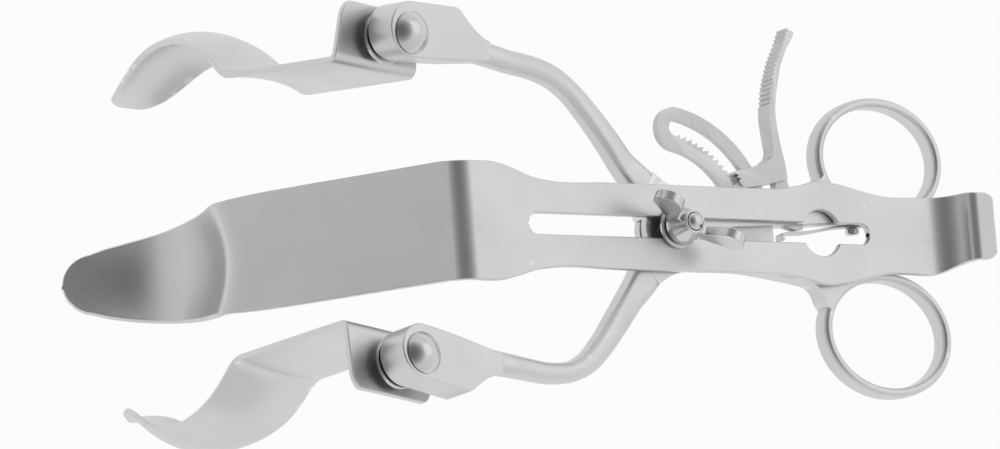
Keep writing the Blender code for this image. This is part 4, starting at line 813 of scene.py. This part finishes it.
def makeFloor(s):
    # a square sheet of paper that glows for the camera and for reflections, and otherwise takes light and shadow
    corners = s["floorReach"] * np.array([(-1, -1, 0), (1, -1, 0), (1, 1, 0), (-1, 1, 0)], dtype=float)
    floor = newPiece("paleFloor", corners, np.array([[0, 1, 2, 3]]), outward=False)
    material = bpy.data.materials.new("palePaper")
    material.use_nodes = True
    nodes, links = material.node_tree.nodes, material.node_tree.links
    paper = nodes["Principled BSDF"]
    paper.inputs["Roughness"].default_value = 0.9
    paper.inputs["Specular IOR Level"].default_value = 0.1
    coords = nodes.new("ShaderNodeTexCoord")
    fibre = nodes.new("ShaderNodeTexNoise")
    fibre.inputs["Scale"].default_value = 900.0
    links.new(coords.outputs["Object"], fibre.inputs["Vector"])
    tint = nodes.new("ShaderNodeMix")
    tint.data_type = "RGBA"
    tint.inputs["A"].default_value = (s["floorTone"],) * 3 + (1.0,)
    tint.inputs["B"].default_value = (s["floorTone"] + 0.02,) * 3 + (1.0,)
    links.new(fibre.outputs["Fac"], tint.inputs["Factor"])
    links.new(tint.outputs["Result"], paper.inputs["Base Color"])
    glow = nodes.new("ShaderNodeEmission")
    glow.inputs["Strength"].default_value = 1.0
    path = nodes.new("ShaderNodeLightPath")
    seen = nodes.new("ShaderNodeMath")
    seen.operation = "MAXIMUM"
    links.new(path.outputs["Is Camera Ray"], seen.inputs[0])
    links.new(path.outputs["Is Glossy Ray"], seen.inputs[1])
    share = nodes.new("ShaderNodeMath")
    share.operation = "MULTIPLY"
    share.inputs[1].default_value = s["glow"]
    links.new(seen.outputs[0], share.inputs[0])
    mix = nodes.new("ShaderNodeMixShader")
    links.new(share.outputs[0], mix.inputs["Fac"])
    links.new(paper.outputs["BSDF"], mix.inputs[1])
    links.new(glow.outputs["Emission"], mix.inputs[2])
    links.new(mix.outputs["Shader"], nodes["Material Output"].inputs["Surface"])
    floor.data.materials.append(material)


def makeSky(s):
    # light studio dome with a soft dark area round the camera, as a light tent's opening gives
    world = bpy.data.worlds.new("studioDome")
    bpy.context.scene.world = world
    world.use_nodes = True
    nodes, links = world.node_tree.nodes, world.node_tree.links
    coords = nodes.new("ShaderNodeTexCoord")

    def gradient(direction, stops):
        dot = nodes.new("ShaderNodeVectorMath")
        dot.operation = "DOT_PRODUCT"
        dot.inputs[1].default_value = plateAxes @ unit(asArray(direction))
        links.new(coords.outputs["Object"], dot.inputs[0])
        spread = nodes.new("ShaderNodeMapRange")
        spread.inputs["From Min"].default_value = -1.0
        links.new(dot.outputs["Value"], spread.inputs["Value"])
        ramp = nodes.new("ShaderNodeValToRGB")
        ramp.color_ramp.interpolation = "EASE"
        while len(ramp.color_ramp.elements) < len(stops):
            ramp.color_ramp.elements.new(0.5)
        for element, (place, tone) in zip(ramp.color_ramp.elements, stops):
            element.position = place
            element.color = (tone, tone, tone * 1.006, 1.0)
        links.new(spread.outputs["Result"], ramp.inputs["Fac"])
        return ramp.outputs["Color"]

    wide = gradient(s["bright"], s["dome"])
    spot = gradient(s["dark"], s["tent"])
    mix = nodes.new("ShaderNodeMix")
    mix.data_type = "RGBA"
    mix.blend_type = "MULTIPLY"
    mix.inputs["Factor"].default_value = 1.0
    links.new(wide, mix.inputs["A"])
    links.new(spot, mix.inputs["B"])
    links.new(mix.outputs["Result"], nodes["Background"].inputs["Color"])
    nodes["Background"].inputs["Strength"].default_value = 1.0


def makeKeyLight(s):
    # one large soft lamp, turned towards the origin
    lamp = bpy.data.lights.new("softBox", "AREA")
    lamp.shape = "DISK"
    lamp.size = s["keySize"]
    lamp.energy = s["keyPower"]
    ob = bpy.data.objects.new("softBox", lamp)
    ob.location = s["keyPlace"]
    ob.rotation_euler = Vector(s["keyPlace"]).to_track_quat("Z", "Y").to_euler()
    bpy.context.scene.collection.objects.link(ob)


view = {"right": (0.84329, -0.07744, 0.53184), "up": (-0.02903, 0.98156, 0.18896),
        "back": (-0.53667, -0.17478, 0.82549),
        "shift": (35.6176, -0.6510, -1500.895), "focal": 7429.4, "wide": 1000.0, "sensor": 36.0}


def makeCamera(w):
    # the picture's camera in the plate's axes: place = -(right, up, back)^T . shift in millimetres, with the
    # focal length in pixels of a picture 1000 wide; the axes are squared up to an exact turn
    rows = np.array([w["right"], w["up"], w["back"]])
    place = placed(-(rows.T @ np.array(w["shift"])), pivot, plateAxes)
    u, _, v = np.linalg.svd(plateAxes @ rows.T)
    turn = u @ v
    data = bpy.data.cameras.new("photoCamera")
    data.sensor_width = w["sensor"]
    data.lens = w["focal"] / w["wide"] * w["sensor"]
    data.clip_start = 0.05
    data.clip_end = 20.0
    camera = bpy.data.objects.new("photoCamera", data)
    matrix = Matrix(turn.tolist()).to_4x4()
    matrix.translation = Vector(place)
    camera.matrix_world = matrix
    bpy.context.scene.collection.objects.link(camera)
    bpy.context.scene.camera = camera


makeFloor(studio)
makeSky(studio)
makeKeyLight(studio)
makeCamera(view)
bpy.context.scene.view_settings.view_transform = "Standard"
print("studio made")
